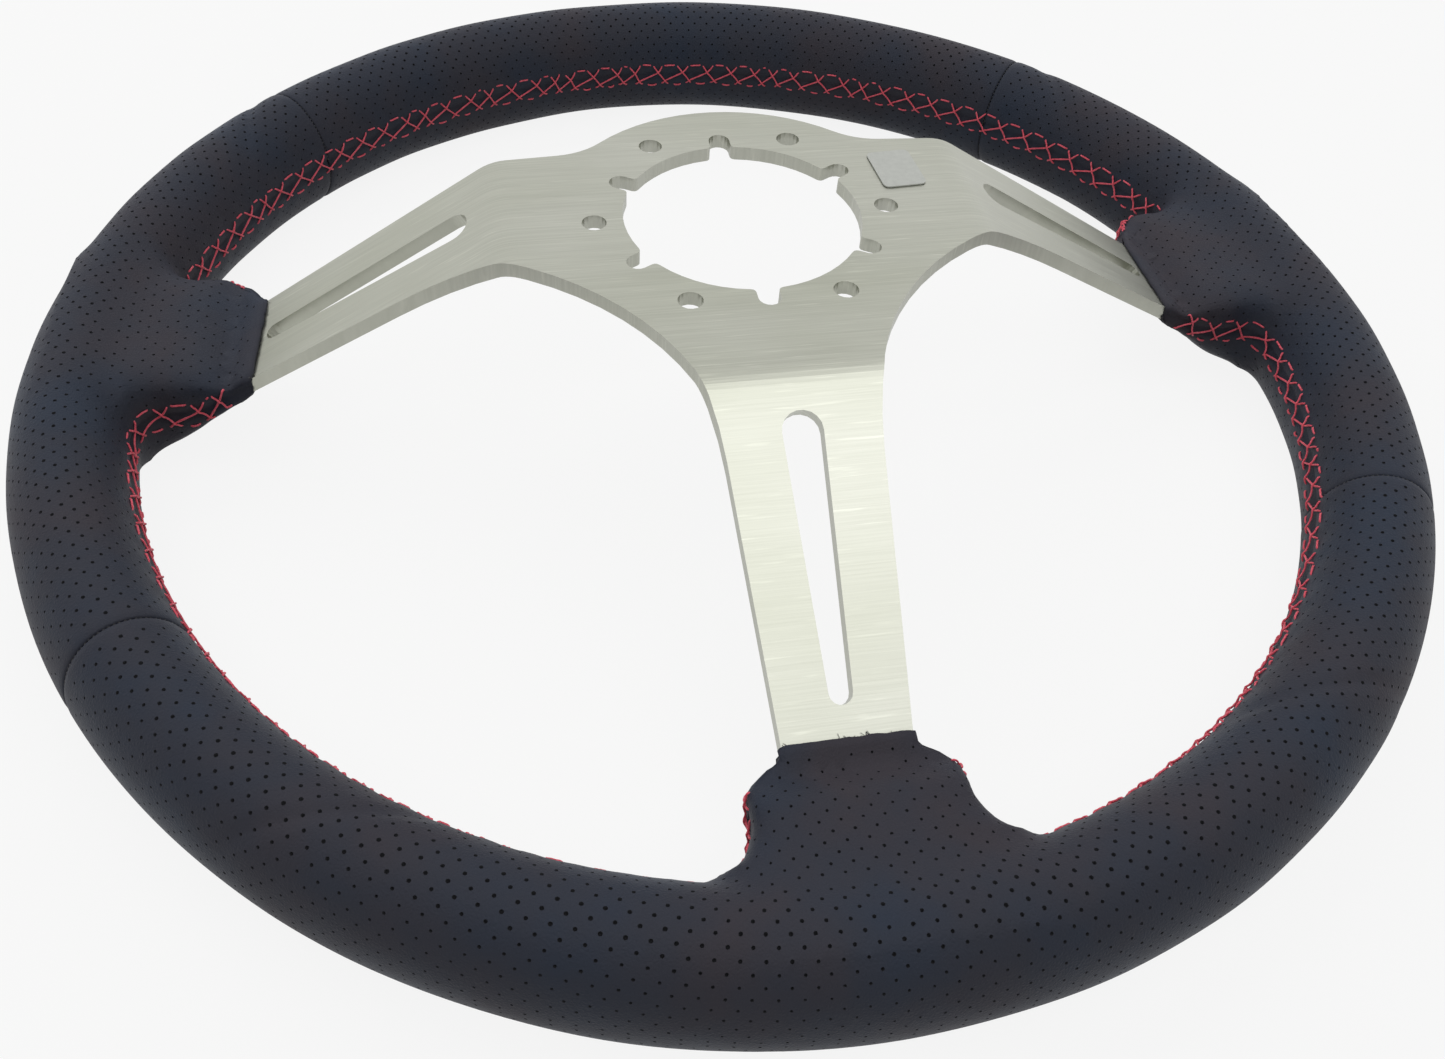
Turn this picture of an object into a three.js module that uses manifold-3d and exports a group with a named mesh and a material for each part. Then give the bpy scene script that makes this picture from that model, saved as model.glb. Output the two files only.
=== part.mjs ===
// Three-spoke sports steering wheel, lying on its face: +Z is the steering column side,
// -Y is the bottom spoke, and z = 0 is the lowest point of the grip. Millimetres.

import * as THREE from 'three';
import { mergeVertices } from 'three/addons/utils/BufferGeometryUtils.js';
import Module from 'manifold-3d';

const wasm = await Module();
wasm.setup();

// Grip
const wheelDiameter = 350;
const gripWidth = 27.1;
const gripHeight = 34.6;
const leatherThickness = 1.2;
const clearance = 0.3;
const rimSteps = 60;
const gripSides = 12;
const coreSteps = 40;
const coreSides = 8;
const rootSides = 12;
const bendSteps = 5;

// Spoke plate
const plateThickness = 3.5;
const hubDish = 46.9;
const hubRadius = 44.5;
const hubFillet = 18;
const windowFillet = 69.5;
const bendRadius = 10;
const sideBend = 56.5;
const bottomBend = 55.5;
const sideSpokeOffset = 9.8;
const spokeHubWidth = 35;
const spokeTipWidth = 23;

// Hub holes
const boreRadius = 28.2;
const boltCount = 6;
const boltCircle = 70;
const boltHoleDiameter = 5.8;
const notchWidth = 5.2;
const notchReach = 33.8;
const notchLip = 1.2;

// Slots in the spokes
const slotHubWidth = 8.8;
const slotLipWidth = 5;
const slotHubMargin = 6.5;
const slotEnd = 114.6;

// Rim core, tabs and rivets
const coreDiameter = 12;
const tabThickness = 3;
const tabWidth = 22;
const spokeEndGap = 4;
const landingLength = 23;
const tabSetback = 9;
const rivetDiameter = 4.8;
const rivetHeadDiameter = 9;
const rivetHeadHeight = 2.2;
const rivetSpacing = 13;
const rivetSides = 12;

// Leather roots at the spokes
const sideLip = { reach: 29.9, length: 7.5 };
const bottomLip = { reach: 25.4, length: 5.5 };
const bossTop = 11.5;
const bossTopRise = 2.1;
const bossRiseLength = 6;
const bossBottom = 12.4;
const bossBottomLength = 25;
const lipSquareness = 6;
const bossSquareness = 5.5;
const plainSide = { body: 14.8, start: 7, length: 5, flareFrom: 7, flareLength: 7, flareWidth: 6 };
const bottomSide = { body: 21.6, start: 1.5, length: 5, flareFrom: 15, flareLength: 13, flareWidth: 12 };
const thumbSide = { body: 29.5, start: 0, length: 11, flareFrom: 15, flareLength: 14, flareWidth: 18 };
const flareShare = 0.93;
const wallShare = 0.75;

// Panels, seams and thread
const topPanelAngle = 89.7;
const bottomPanelAngle = 122.5;
const seamGap = 1.2;
const seamThreadDiameter = 0.6;
const lacingPitch = 8;
const lacingHeight = 8;
const lacingDiameter = 0.7;
const lacingLift = 0.5;
const lacingRise = 4.9;
const lacingRiseLength = 180;
const lacingSetback = 2.5;

// Label
const labelLength = 15;
const labelWidth = 11;
const labelThickness = 0.3;
const labelGap = 0.1;
const labelCorner = 1.5;
const labelInset = 0.5;
const labelAngle = 19.3;
const labelTurn = 4;

// Worked out from the sizes above
const rimRadius = (wheelDiameter - gripWidth) / 2;
const rimInner = rimRadius - gripWidth / 2;
const midPlane = gripHeight / 2;
const hubTop = midPlane + hubDish;
const hubMiddle = hubTop - plateThickness / 2;
const cover = leatherThickness + clearance;
const spokeTip = rimRadius - coreDiameter / 2 - spokeEndGap;
const landingAt = spokeTip - landingLength;
const tabTop = midPlane + tabThickness / 2;
const endMiddle = tabTop + clearance + plateThickness / 2;

const up = new THREE.Vector3(0, 0, 1);
const rightRoot = {
  along: new THREE.Vector3(1, 0, 0),
  across: new THREE.Vector3(0, 1, 0),
  offset: sideSpokeOffset,
  bend: sideBend,
  lipAt: rimInner - sideLip.reach,
  creaseAt: rimInner - sideLip.reach + sideLip.length,
  sides: { plus: thumbSide, minus: plainSide },
};
const leftRoot = { ...rightRoot, along: new THREE.Vector3(-1, 0, 0) };
const bottomRoot = {
  along: new THREE.Vector3(0, -1, 0),
  across: new THREE.Vector3(1, 0, 0),
  offset: 0,
  bend: bottomBend,
  lipAt: rimInner - bottomLip.reach,
  creaseAt: rimInner - bottomLip.reach + bottomLip.length,
  sides: { plus: bottomSide, minus: bottomSide },
};
const roots = { left: leftRoot, right: rightRoot, bottom: bottomRoot };

// Turns a closed geometry into a solid with its faces pointing out.
function solid(geometry) {
  const bare = geometry.clone();
  bare.deleteAttribute('normal');
  bare.deleteAttribute('uv');
  const merged = mergeVertices(bare, 1e-4);
  const positions = merged.attributes.position.array;
  const triangles = Uint32Array.from(merged.index.array);
  if (signedVolume(positions, triangles) < 0) {
    for (let i = 0; i < triangles.length; i += 3) {
      [triangles[i], triangles[i + 1]] = [triangles[i + 1], triangles[i]];
    }
  }
  const mesh = new wasm.Mesh({
    numProp: 3,
    vertProperties: Float32Array.from(positions),
    triVerts: triangles,
  });
  return new wasm.Manifold(mesh);
}

function signedVolume(positions, triangles) {
  const a = new THREE.Vector3();
  const b = new THREE.Vector3();
  const c = new THREE.Vector3();
  let volume = 0;
  for (let i = 0; i < triangles.length; i += 3) {
    a.fromArray(positions, triangles[i] * 3);
    b.fromArray(positions, triangles[i + 1] * 3);
    c.fromArray(positions, triangles[i + 2] * 3);
    volume += a.dot(b.cross(c)) / 6;
  }
  return volume;
}

// Turns a solid back into a geometry.
function geometryOf(body) {
  const mesh = body.getMesh();
  const geometry = new THREE.BufferGeometry();
  geometry.setAttribute('position', new THREE.BufferAttribute(mesh.vertProperties, 3));
  geometry.setIndex(new THREE.BufferAttribute(mesh.triVerts, 1));
  geometry.computeVertexNormals();
  return geometry;
}

// Joins rings of points into a closed skin: capped at both ends, or its last ring joined to its first.
function skin(rings, closed = false) {
  const sides = rings[0].length;
  const points = rings.flat();
  const index = [];
  const spans = closed ? rings.length : rings.length - 1;
  for (let i = 0; i < spans; i++) {
    const here = i * sides;
    const next = ((i + 1) % rings.length) * sides;
    for (let j = 0; j < sides; j++) {
      const k = (j + 1) % sides;
      index.push(here + j, here + k, next + k, here + j, next + k, next + j);
    }
  }
  if (!closed) {
    const last = (rings.length - 1) * sides;
    for (let j = 1; j < sides - 1; j++) {
      index.push(0, j + 1, j);
      index.push(last, last + j, last + j + 1);
    }
  }
  const geometry = new THREE.BufferGeometry().setFromPoints(points);
  geometry.setIndex(index);
  return geometry;
}

// Points of an arc about a centre, from one angle to another.
function arcPoints(x, y, radius, from, to, steps) {
  const points = [];
  for (let i = 0; i <= steps; i++) {
    const angle = from + (to - from) * i / steps;
    points.push(new THREE.Vector2(x + radius * Math.cos(angle), y + radius * Math.sin(angle)));
  }
  return points;
}

// Points of the arc that rounds the corner between the lines from a to corner and from corner to b.
function cornerArc(a, corner, b, radius, steps) {
  const toA = a.clone().sub(corner).normalize();
  const toB = b.clone().sub(corner).normalize();
  const half = Math.acos(THREE.MathUtils.clamp(toA.dot(toB), -1, 1)) / 2;
  const centre = toA.clone().add(toB).normalize().multiplyScalar(radius / Math.sin(half)).add(corner);
  const start = toA.clone().multiplyScalar(radius / Math.tan(half)).add(corner).sub(centre);
  const end = toB.clone().multiplyScalar(radius / Math.tan(half)).add(corner).sub(centre);
  const from = start.angle();
  let sweep = end.angle() - from;
  if (sweep > Math.PI) {
    sweep -= 2 * Math.PI;
  }
  if (sweep < -Math.PI) {
    sweep += 2 * Math.PI;
  }
  return arcPoints(centre.x, centre.y, radius, from, from + sweep, steps);
}

function crossing(p, q, r, s) {
  const d = q.clone().sub(p);
  const e = s.clone().sub(r);
  const t = r.clone().sub(p).cross(e) / d.cross(e);
  return p.clone().addScaledVector(d, t);
}

// A plate of the given outline between two heights.
function prism(shape, low, high) {
  const geometry = new THREE.ExtrudeGeometry(shape, { depth: high - low, bevelEnabled: false });
  geometry.translate(0, 0, low);
  return solid(geometry);
}

// Point of a root: distance out from the wheel's axis, distance across from the spoke's middle, height.
function rootPoint(root, reach, side, height) {
  const point = root.along.clone().multiplyScalar(reach);
  point.addScaledVector(root.across, root.offset + side);
  point.z = height;
  return point;
}

// Half the spoke's width in plan. Both edges are straight, so the taper runs on to the spoke's tip.
function spokeHalfWidth(root, reach) {
  const share = (reach - root.bend) / (spokeTip - root.bend);
  return THREE.MathUtils.lerp(spokeHubWidth, spokeTipWidth, share) / 2;
}

function spokeSlope(root) {
  return Math.atan2(hubMiddle - endMiddle, landingAt - root.bend);
}

// Height of the plate's top or bottom face on the slope: side is 1 or -1.
function spokeFace(root, reach, side) {
  const slope = spokeSlope(root);
  return hubMiddle - (reach - root.bend) * Math.tan(slope) + side * plateThickness / 2 / Math.cos(slope);
}

// Distance from a bend's corner to where its curve begins.
function bendLength(root) {
  return (bendRadius + plateThickness / 2) * Math.tan(spokeSlope(root) / 2);
}

// Spoke seen from the side: flat hub, bend, slope, bend back, flat end.
function spokeSideShape(root, extra) {
  const slope = spokeSlope(root);
  const radius = bendRadius + plateThickness / 2;
  const start = new THREE.Vector2(-hubRadius, hubMiddle);
  const bend = new THREE.Vector2(root.bend, hubMiddle);
  const landing = new THREE.Vector2(landingAt, endMiddle);
  const tip = new THREE.Vector2(spokeTip + extra, endMiddle);
  const middle = [start, ...cornerArc(start, bend, landing, radius, bendSteps)];
  middle.push(...cornerArc(bend, landing, tip, radius, bendSteps), tip);
  const angles = [0];
  for (let i = 0; i <= bendSteps; i++) {
    angles.push(slope * i / bendSteps);
  }
  for (let i = 0; i <= bendSteps; i++) {
    angles.push(slope * (1 - i / bendSteps));
  }
  angles.push(0);
  const half = plateThickness / 2 + extra;
  const offset = (side) => middle.map((point, i) => new THREE.Vector2(
    point.x + side * half * Math.sin(angles[i]),
    point.y + side * half * Math.cos(angles[i]),
  ));
  return new THREE.Shape([...offset(1), ...offset(-1).reverse()]);
}

// Spoke arm, as wide as asked, before its outline is cut.
function spokeArm(root, halfWidth, extra) {
  const options = { depth: 2 * halfWidth, bevelEnabled: false };
  const geometry = new THREE.ExtrudeGeometry(spokeSideShape(root, extra), options);
  geometry.translate(0, 0, -halfWidth);
  const third = root.along.clone().cross(up);
  const place = new THREE.Matrix4().makeBasis(root.along, up, third);
  place.setPosition(root.across.clone().multiplyScalar(root.offset));
  geometry.applyMatrix4(place);
  return solid(geometry);
}

// Four-cornered plan between two reaches of a root, as wide on each side as asked there.
function planCorners(root, from, to, halfWidthAt) {
  const corners = [[from, 1], [to, 1], [to, -1], [from, -1]].map(([reach, side]) => {
    const point = rootPoint(root, reach, side * halfWidthAt(reach), 0);
    return new THREE.Vector2(point.x, point.y);
  });
  return new THREE.Shape(corners);
}

// Space that a spoke takes inside the grip, with clearance all round.
function spokeChannel(root) {
  const arm = spokeArm(root, spokeHubWidth, clearance);
  const from = root.lipAt - plateThickness;
  const halfWidth = (reach) => spokeHalfWidth(root, reach) + clearance;
  const plan = planCorners(root, from, spokeTip + clearance, halfWidth);
  return arm.intersect(prism(plan, 0, hubTop));
}

function planPoint(root, reach, side) {
  const point = rootPoint(root, reach, side * spokeHalfWidth(root, reach), 0);
  return new THREE.Vector2(point.x, point.y);
}

function mirrored(points) {
  return points.map((point) => new THREE.Vector2(-point.x, point.y)).reverse();
}

// Outline of the spoke plate seen from above: right half from the bottom tip round to the top, then mirrored.
function plateOutline() {
  const bottomTip = planPoint(bottomRoot, spokeTip, 1);
  const bottomEdge = planPoint(bottomRoot, bottomRoot.bend, 1);
  const lowTip = planPoint(rightRoot, spokeTip, -1);
  const lowEdge = planPoint(rightRoot, rightRoot.bend, -1);
  const highTip = planPoint(rightRoot, spokeTip, 1);
  const highEdge = planPoint(rightRoot, rightRoot.bend, 1);
  const corner = crossing(bottomTip, bottomEdge, lowTip, lowEdge);
  const half = [bottomTip, ...cornerArc(bottomTip, corner, lowTip, windowFillet, 16), lowTip, highTip];

  const inward = highEdge.clone().sub(highTip).normalize();
  const outward = new THREE.Vector2(inward.y, -inward.x);
  const base = highTip.clone().addScaledVector(outward, hubFillet);
  const along = base.dot(inward);
  const far = hubRadius + hubFillet;
  const travel = -along - Math.sqrt(along * along - base.lengthSq() + far * far);
  const centre = base.clone().addScaledVector(inward, travel);
  const lineAngle = outward.clone().negate().angle();
  const hubAngle = centre.clone().negate().angle();
  half.push(...arcPoints(centre.x, centre.y, hubFillet, lineAngle, hubAngle, 6));
  const bulge = arcPoints(0, 0, hubRadius, centre.angle(), Math.PI / 2, 8);
  half.push(...bulge.slice(1));
  return [...half, ...mirrored(half).slice(1)];
}

// Bore of the hub, with a round-ended notch between each pair of bolt holes.
function borePath() {
  const half = notchWidth / 2;
  const lipSide = half + notchLip;
  const lipReach = Math.sqrt((boreRadius + notchLip) ** 2 - lipSide ** 2);
  const lipAngle = Math.atan2(lipSide, lipReach);
  const points = [];
  for (let i = 0; i < boltCount; i++) {
    const turn = 2 * Math.PI * (i + 0.5) / boltCount;
    const notch = [];
    notch.push(...arcPoints(lipReach, -lipSide, notchLip, Math.PI - lipAngle, Math.PI / 2, 3));
    notch.push(...arcPoints(notchReach - half, 0, half, -Math.PI / 2, Math.PI / 2, 8));
    notch.push(...arcPoints(lipReach, lipSide, notchLip, -Math.PI / 2, lipAngle - Math.PI, 3));
    points.push(...notch.map((point) => point.rotateAround(new THREE.Vector2(), turn)));
    const next = turn + 2 * Math.PI / boltCount;
    points.push(...arcPoints(0, 0, boreRadius, turn + lipAngle, next - lipAngle, 7).slice(1, -1));
  }
  return new THREE.Path(points);
}

// Tapered slot with round ends, cut square to the sloping part of a spoke.
function slotCutter(root) {
  const slope = spokeSlope(root);
  const from = (root.bend + slotHubMargin) / Math.cos(slope);
  const to = slotEnd / Math.cos(slope);
  const wide = slotHubWidth / 2;
  const narrow = slotLipWidth / 2;
  const lean = Math.asin((wide - narrow) / (to - narrow - from - wide));
  const quarter = Math.PI / 2;
  const outline = [
    ...arcPoints(to - narrow, 0, narrow, lean - quarter, quarter - lean, 7),
    ...arcPoints(from + wide, 0, wide, quarter - lean, 3 * quarter + lean, 9),
  ];
  const depth = 4 * plateThickness;
  const geometry = new THREE.ExtrudeGeometry(new THREE.Shape(outline), { depth, bevelEnabled: false });
  geometry.translate(0, 0, -depth / 2);
  const down = root.along.clone().multiplyScalar(Math.cos(slope)).addScaledVector(up, -Math.sin(slope));
  const normal = root.along.clone().multiplyScalar(Math.sin(slope)).addScaledVector(up, Math.cos(slope));
  const place = new THREE.Matrix4().makeBasis(down, normal.clone().cross(down), normal);
  place.setPosition(rootPoint(root, 0, 0, hubMiddle + root.bend * Math.tan(slope)));
  geometry.applyMatrix4(place);
  return solid(geometry);
}

// Places of the two rivets at a spoke's end.
function rivetPlaces(root) {
  const reach = (landingAt + spokeTip) / 2;
  return [-1, 1].map((side) => rootPoint(root, reach, side * rivetSpacing / 2, 0));
}

function upright(radius, low, high, place) {
  const geometry = new THREE.CylinderGeometry(radius, radius, high - low, rivetSides);
  geometry.rotateX(Math.PI / 2);
  geometry.translate(place.x, place.y, (low + high) / 2);
  return solid(geometry);
}

function rivetHoles(root) {
  const [first, second] = rivetPlaces(root).map((place) => (
    upright(rivetDiameter / 2 + clearance, 0, hubTop, place)
  ));
  return first.add(second);
}

// Hub and three dished spokes, cut and bent from one aluminium plate.
function spokePlate() {
  const outline = new THREE.Shape(plateOutline());
  outline.holes.push(borePath());
  for (let i = 0; i < boltCount; i++) {
    const angle = 2 * Math.PI * i / boltCount;
    const x = boltCircle / 2 * Math.cos(angle);
    const y = boltCircle / 2 * Math.sin(angle);
    outline.holes.push(new THREE.Path(arcPoints(x, y, boltHoleDiameter / 2, 0, 2 * Math.PI, 16).slice(1)));
  }
  const sideArmWidth = bottomRoot.bend - bendLength(bottomRoot) + sideSpokeOffset;
  const bottomArmWidth = rightRoot.bend - bendLength(rightRoot);
  let plate = spokeArm(bottomRoot, bottomArmWidth, 0);
  plate = plate.add(spokeArm(leftRoot, sideArmWidth, 0)).add(spokeArm(rightRoot, sideArmWidth, 0));
  plate = plate.intersect(prism(outline, 0, hubTop + plateThickness));
  for (const root of Object.values(roots)) {
    plate = plate.subtract(slotCutter(root)).subtract(rivetHoles(root));
  }
  return geometryOf(plate);
}

// Grip's round section swept about the wheel's axis, drawn in by inset.
function gripRing(inset) {
  const tube = gripWidth / 2 - inset;
  const geometry = new THREE.TorusGeometry(rimRadius, tube, gripSides, rimSteps);
  geometry.scale(1, 1, (gripHeight / 2 - inset) / tube);
  geometry.translate(0, 0, midPlane);
  return solid(geometry);
}

function coreRing(extra) {
  const geometry = new THREE.TorusGeometry(rimRadius, coreDiameter / 2 + extra, coreSides, coreSteps);
  geometry.translate(0, 0, midPlane);
  return solid(geometry);
}

// Steel plate that carries a spoke's end, reaching out to the rim core.
function tabBlock(root, extra) {
  const from = landingAt + tabSetback - extra;
  const plan = planCorners(root, from, rimRadius, () => tabWidth / 2 + extra);
  return prism(plan, midPlane - tabThickness / 2 - extra, tabTop + extra);
}

function ringTab(root) {
  return geometryOf(tabBlock(root, 0).subtract(coreRing(clearance)).subtract(rivetHoles(root)));
}

// Rivet through a spoke's end and its tab: domed head above, formed head below.
function rivet() {
  const low = midPlane - tabThickness / 2 - clearance;
  const high = endMiddle + plateThickness / 2 + clearance;
  const shank = rivetDiameter / 2;
  const head = rivetHeadDiameter / 2;
  const profile = [
    [0, low - rivetHeadHeight],
    [head * 0.6, low - rivetHeadHeight],
    [head, low],
    [shank, low],
    [shank, high],
    [head, high],
    [head * 0.75, high + rivetHeadHeight * 0.7],
    [0, high + rivetHeadHeight],
  ];
  const points = profile.map(([x, y]) => new THREE.Vector2(x, y));
  const geometry = new THREE.LatheGeometry(points, rivetSides);
  geometry.rotateX(Math.PI / 2);
  return geometryOf(solid(geometry));
}

function ramp(value, from, length) {
  return Math.sin(Math.PI / 2 * THREE.MathUtils.clamp((value - from) / length, 0, 1));
}

// Half the width of a leather root on one side: the lip on the spoke, the shoulder, the body, and the
// flare that runs into the grip.
function rootHalfWidth(root, side, reach) {
  const lip = spokeHalfWidth(root, Math.min(reach, root.creaseAt)) + cover;
  const body = lip + (side.body - lip) * ramp(reach, root.lipAt + side.start, side.length);
  const share = THREE.MathUtils.clamp((reach - rimInner + side.flareFrom) / side.flareLength, 0, flareShare);
  return body + side.flareWidth * (1 - Math.sqrt(1 - share * share));
}

// Height of a leather root: it hugs the spoke at the lip, and stands full beyond the crease.
function rootTop(root, reach) {
  const lip = spokeFace(root, Math.min(reach, root.creaseAt), 1) + cover;
  const share = Math.max(0, reach - root.creaseAt) / (rimInner - root.creaseAt);
  const body = midPlane + bossTop + bossTopRise * Math.min(share, 1);
  return lip + (body - lip) * ramp(reach, root.creaseAt, bossRiseLength);
}

function rootBottom(root, reach) {
  const lip = spokeFace(root, Math.min(reach, root.creaseAt), -1) - cover;
  return lip + (midPlane - bossBottom - lip) * ramp(reach, root.creaseAt, bossBottomLength);
}

// Reaches of the sections along a leather root, closest where its outline turns most, and the last two
// inside the grip.
const lipShares = [0, 0.5];
const bodyShares = [0, 0.08, 0.2, 0.36, 0.55, 0.72, 0.86, 0.96, 1.15, 1.4];

function rootReaches(root) {
  const lip = lipShares.map((share) => THREE.MathUtils.lerp(root.lipAt, root.creaseAt, share));
  return [...lip, ...bodyShares.map((share) => THREE.MathUtils.lerp(root.creaseAt, rimInner, share))];
}

function rootSection(root, reach) {
  const top = rootTop(root, reach);
  const bottom = rootBottom(root, reach);
  return {
    reach,
    plus: rootHalfWidth(root, root.sides.plus, reach),
    minus: rootHalfWidth(root, root.sides.minus, reach),
    middle: (top + bottom) / 2,
    half: (top - bottom) / 2,
    squareness: lipSquareness + (bossSquareness - lipSquareness) * ramp(reach, root.creaseAt, bossRiseLength),
  };
}

// Root from a reach outwards, drawn in by inset: rounded rectangles joined into a skin.
function rootBody(root, from, inset) {
  const reaches = [from, ...rootReaches(root).filter((reach) => reach > from + clearance)];
  const rings = reaches.map((reach) => {
    const section = rootSection(root, reach);
    const ring = [];
    for (let i = 0; i < rootSides; i++) {
      const angle = 2 * Math.PI * i / rootSides;
      const power = 2 / section.squareness;
      const c = Math.sign(Math.cos(angle)) * Math.abs(Math.cos(angle)) ** power;
      const s = Math.sign(Math.sin(angle)) * Math.abs(Math.sin(angle)) ** power;
      const width = (c > 0 ? section.plus : section.minus) - inset;
      ring.push(rootPoint(root, reach, c * width, section.middle + s * (section.half - inset)));
    }
    return ring;
  });
  return solid(skin(rings));
}

// Grip and its three roots as one body: whole with its lips, or drawn in by inset and without them.
function gripBody(inset) {
  let body = gripRing(inset);
  for (const root of Object.values(roots)) {
    body = body.add(rootBody(root, inset > 0 ? root.creaseAt + inset : root.lipAt, inset));
  }
  return body;
}

// Foam moulded round the core, with a channel for each spoke, its tab and its rivets.
function foamGrip() {
  const headLow = midPlane - tabThickness / 2 - 2 * clearance - rivetHeadHeight;
  const headHigh = endMiddle + plateThickness / 2 + 2 * clearance + rivetHeadHeight;
  let foam = gripBody(cover);
  foam = foam.subtract(coreRing(clearance));
  for (const root of Object.values(roots)) {
    foam = foam.subtract(spokeChannel(root)).subtract(tabBlock(root, clearance));
    for (const place of rivetPlaces(root)) {
      foam = foam.subtract(upright(rivetHeadDiameter / 2 + clearance, headLow, headHigh, place));
    }
  }
  return geometryOf(foam);
}

// Sector of the wheel between two angles in degrees.
function sector(from, to) {
  const far = wheelDiameter;
  const arc = arcPoints(0, 0, far, THREE.MathUtils.degToRad(from), THREE.MathUtils.degToRad(to), 8);
  return prism(new THREE.Shape([new THREE.Vector2(), ...arc]), -gripHeight, hubTop + gripHeight);
}

// Leather before it is cut into panels, open where the spokes come out.
function leatherSkin() {
  let skinBody = gripBody(0).subtract(gripBody(leatherThickness));
  for (const root of Object.values(roots)) {
    skinBody = skinBody.subtract(spokeChannel(root));
  }
  return skinBody;
}

function leatherPanel(whole, from, to) {
  const half = THREE.MathUtils.radToDeg(seamGap / 2 / rimRadius);
  return geometryOf(whole.intersect(sector(from + half, to - half)));
}

// Runs of lacing, each from one root round the inside of the grip to the next.
const lacingRuns = [
  { name: 'lacing_top', from: rightRoot, fromSide: 1, to: leftRoot, toSide: 1 },
  { name: 'lacing_lower_left', from: leftRoot, fromSide: -1, to: bottomRoot, toSide: -1 },
  { name: 'lacing_lower_right', from: bottomRoot, fromSide: 1, to: rightRoot, toSide: -1 },
];

// Section of a root at any reach, between the sections that its skin is made of.
function sectionAt(root, reach) {
  const stations = rootReaches(root);
  let i = stations.findIndex((station) => station > reach);
  i = i < 0 ? stations.length - 1 : Math.max(i, 1);
  const a = rootSection(root, stations[i - 1]);
  const b = rootSection(root, stations[i]);
  const share = (reach - a.reach) / (b.reach - a.reach);
  return Object.fromEntries(Object.keys(a).map((key) => [key, THREE.MathUtils.lerp(a[key], b[key], share)]));
}

// Point on a root's side wall, at a height above the wheel's middle plane.
function wallPoint(root, side, reach, height) {
  const section = sectionAt(root, reach);
  const power = section.squareness;
  const high = (midPlane + height - section.middle) / section.half;
  const share = THREE.MathUtils.clamp(high, -wallShare, wallShare);
  const wide = side > 0 ? section.plus : section.minus;
  const bulge = wide * (1 - Math.abs(share) ** power) ** (1 / power);
  return rootPoint(root, reach, side * bulge, section.middle + share * section.half);
}

// Whether a point lies inside the grip or inside one of its roots.
function buried(point) {
  const radial = (Math.hypot(point.x, point.y) - rimRadius) / (gripWidth / 2);
  const height = (point.z - midPlane) / (gripHeight / 2);
  if (radial * radial + height * height < 1) {
    return true;
  }
  return Object.values(roots).some((root) => {
    const reach = point.dot(root.along);
    if (reach < root.lipAt || reach > rimRadius) {
      return false;
    }
    const section = sectionAt(root, reach);
    const side = point.dot(root.across) - root.offset;
    const wide = side / (side > 0 ? section.plus : section.minus);
    const high = (point.z - section.middle) / section.half;
    return Math.abs(wide) ** section.squareness + Math.abs(high) ** section.squareness < 1;
  });
}

// Point on the inside of the grip, at a height above the wheel's middle plane.
function rimPoint(angle, height) {
  const radius = rimRadius - gripWidth / 2 * Math.sqrt(1 - (height / (gripHeight / 2)) ** 2);
  return new THREE.Vector3(radius * Math.cos(angle), radius * Math.sin(angle), midPlane + height);
}

// Reach at which a root's wall meets the inside of the grip.
function meetingReach(root, side) {
  let low = root.creaseAt;
  let high = rimInner;
  for (let i = 0; i < 40; i++) {
    const reach = (low + high) / 2;
    const point = wallPoint(root, side, reach, 0);
    if (Math.hypot(point.x, point.y) < rimInner) {
      low = reach;
    } else {
      high = reach;
    }
  }
  return low;
}

function rimMeeting(root, side) {
  const point = wallPoint(root, side, meetingReach(root, side), 0);
  return Math.atan2(point.y, point.x);
}

// A run's route as a function of the share of its length and of the drop from the seam, which lies higher
// near the roots.
function lacingRoute(run) {
  const start = run.from.creaseAt + lacingSetback;
  const end = run.to.creaseAt + lacingSetback;
  const fromReach = meetingReach(run.from, run.fromSide);
  const toReach = meetingReach(run.to, run.toSide);
  const fromAngle = rimMeeting(run.from, run.fromSide);
  let toAngle = rimMeeting(run.to, run.toSide);
  if (toAngle < fromAngle) {
    toAngle += 2 * Math.PI;
  }
  const lerp = THREE.MathUtils.lerp;
  const lengths = [fromReach - start, (toAngle - fromAngle) * rimInner, toReach - end];
  const total = lengths[0] + lengths[1] + lengths[2];
  const place = (share, drop) => {
    const travelled = share * total;
    const away = Math.min(travelled, total - travelled, lacingRiseLength);
    const height = drop + lacingRise * (1 + Math.cos(Math.PI * away / lacingRiseLength)) / 2;
    if (travelled < lengths[0]) {
      return wallPoint(run.from, run.fromSide, start + travelled, height);
    }
    if (travelled > lengths[0] + lengths[1]) {
      return wallPoint(run.to, run.toSide, end + total - travelled, height);
    }
    return rimPoint(lerp(fromAngle, toAngle, (travelled - lengths[0]) / lengths[1]), height);
  };
  return { total, place };
}

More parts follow.
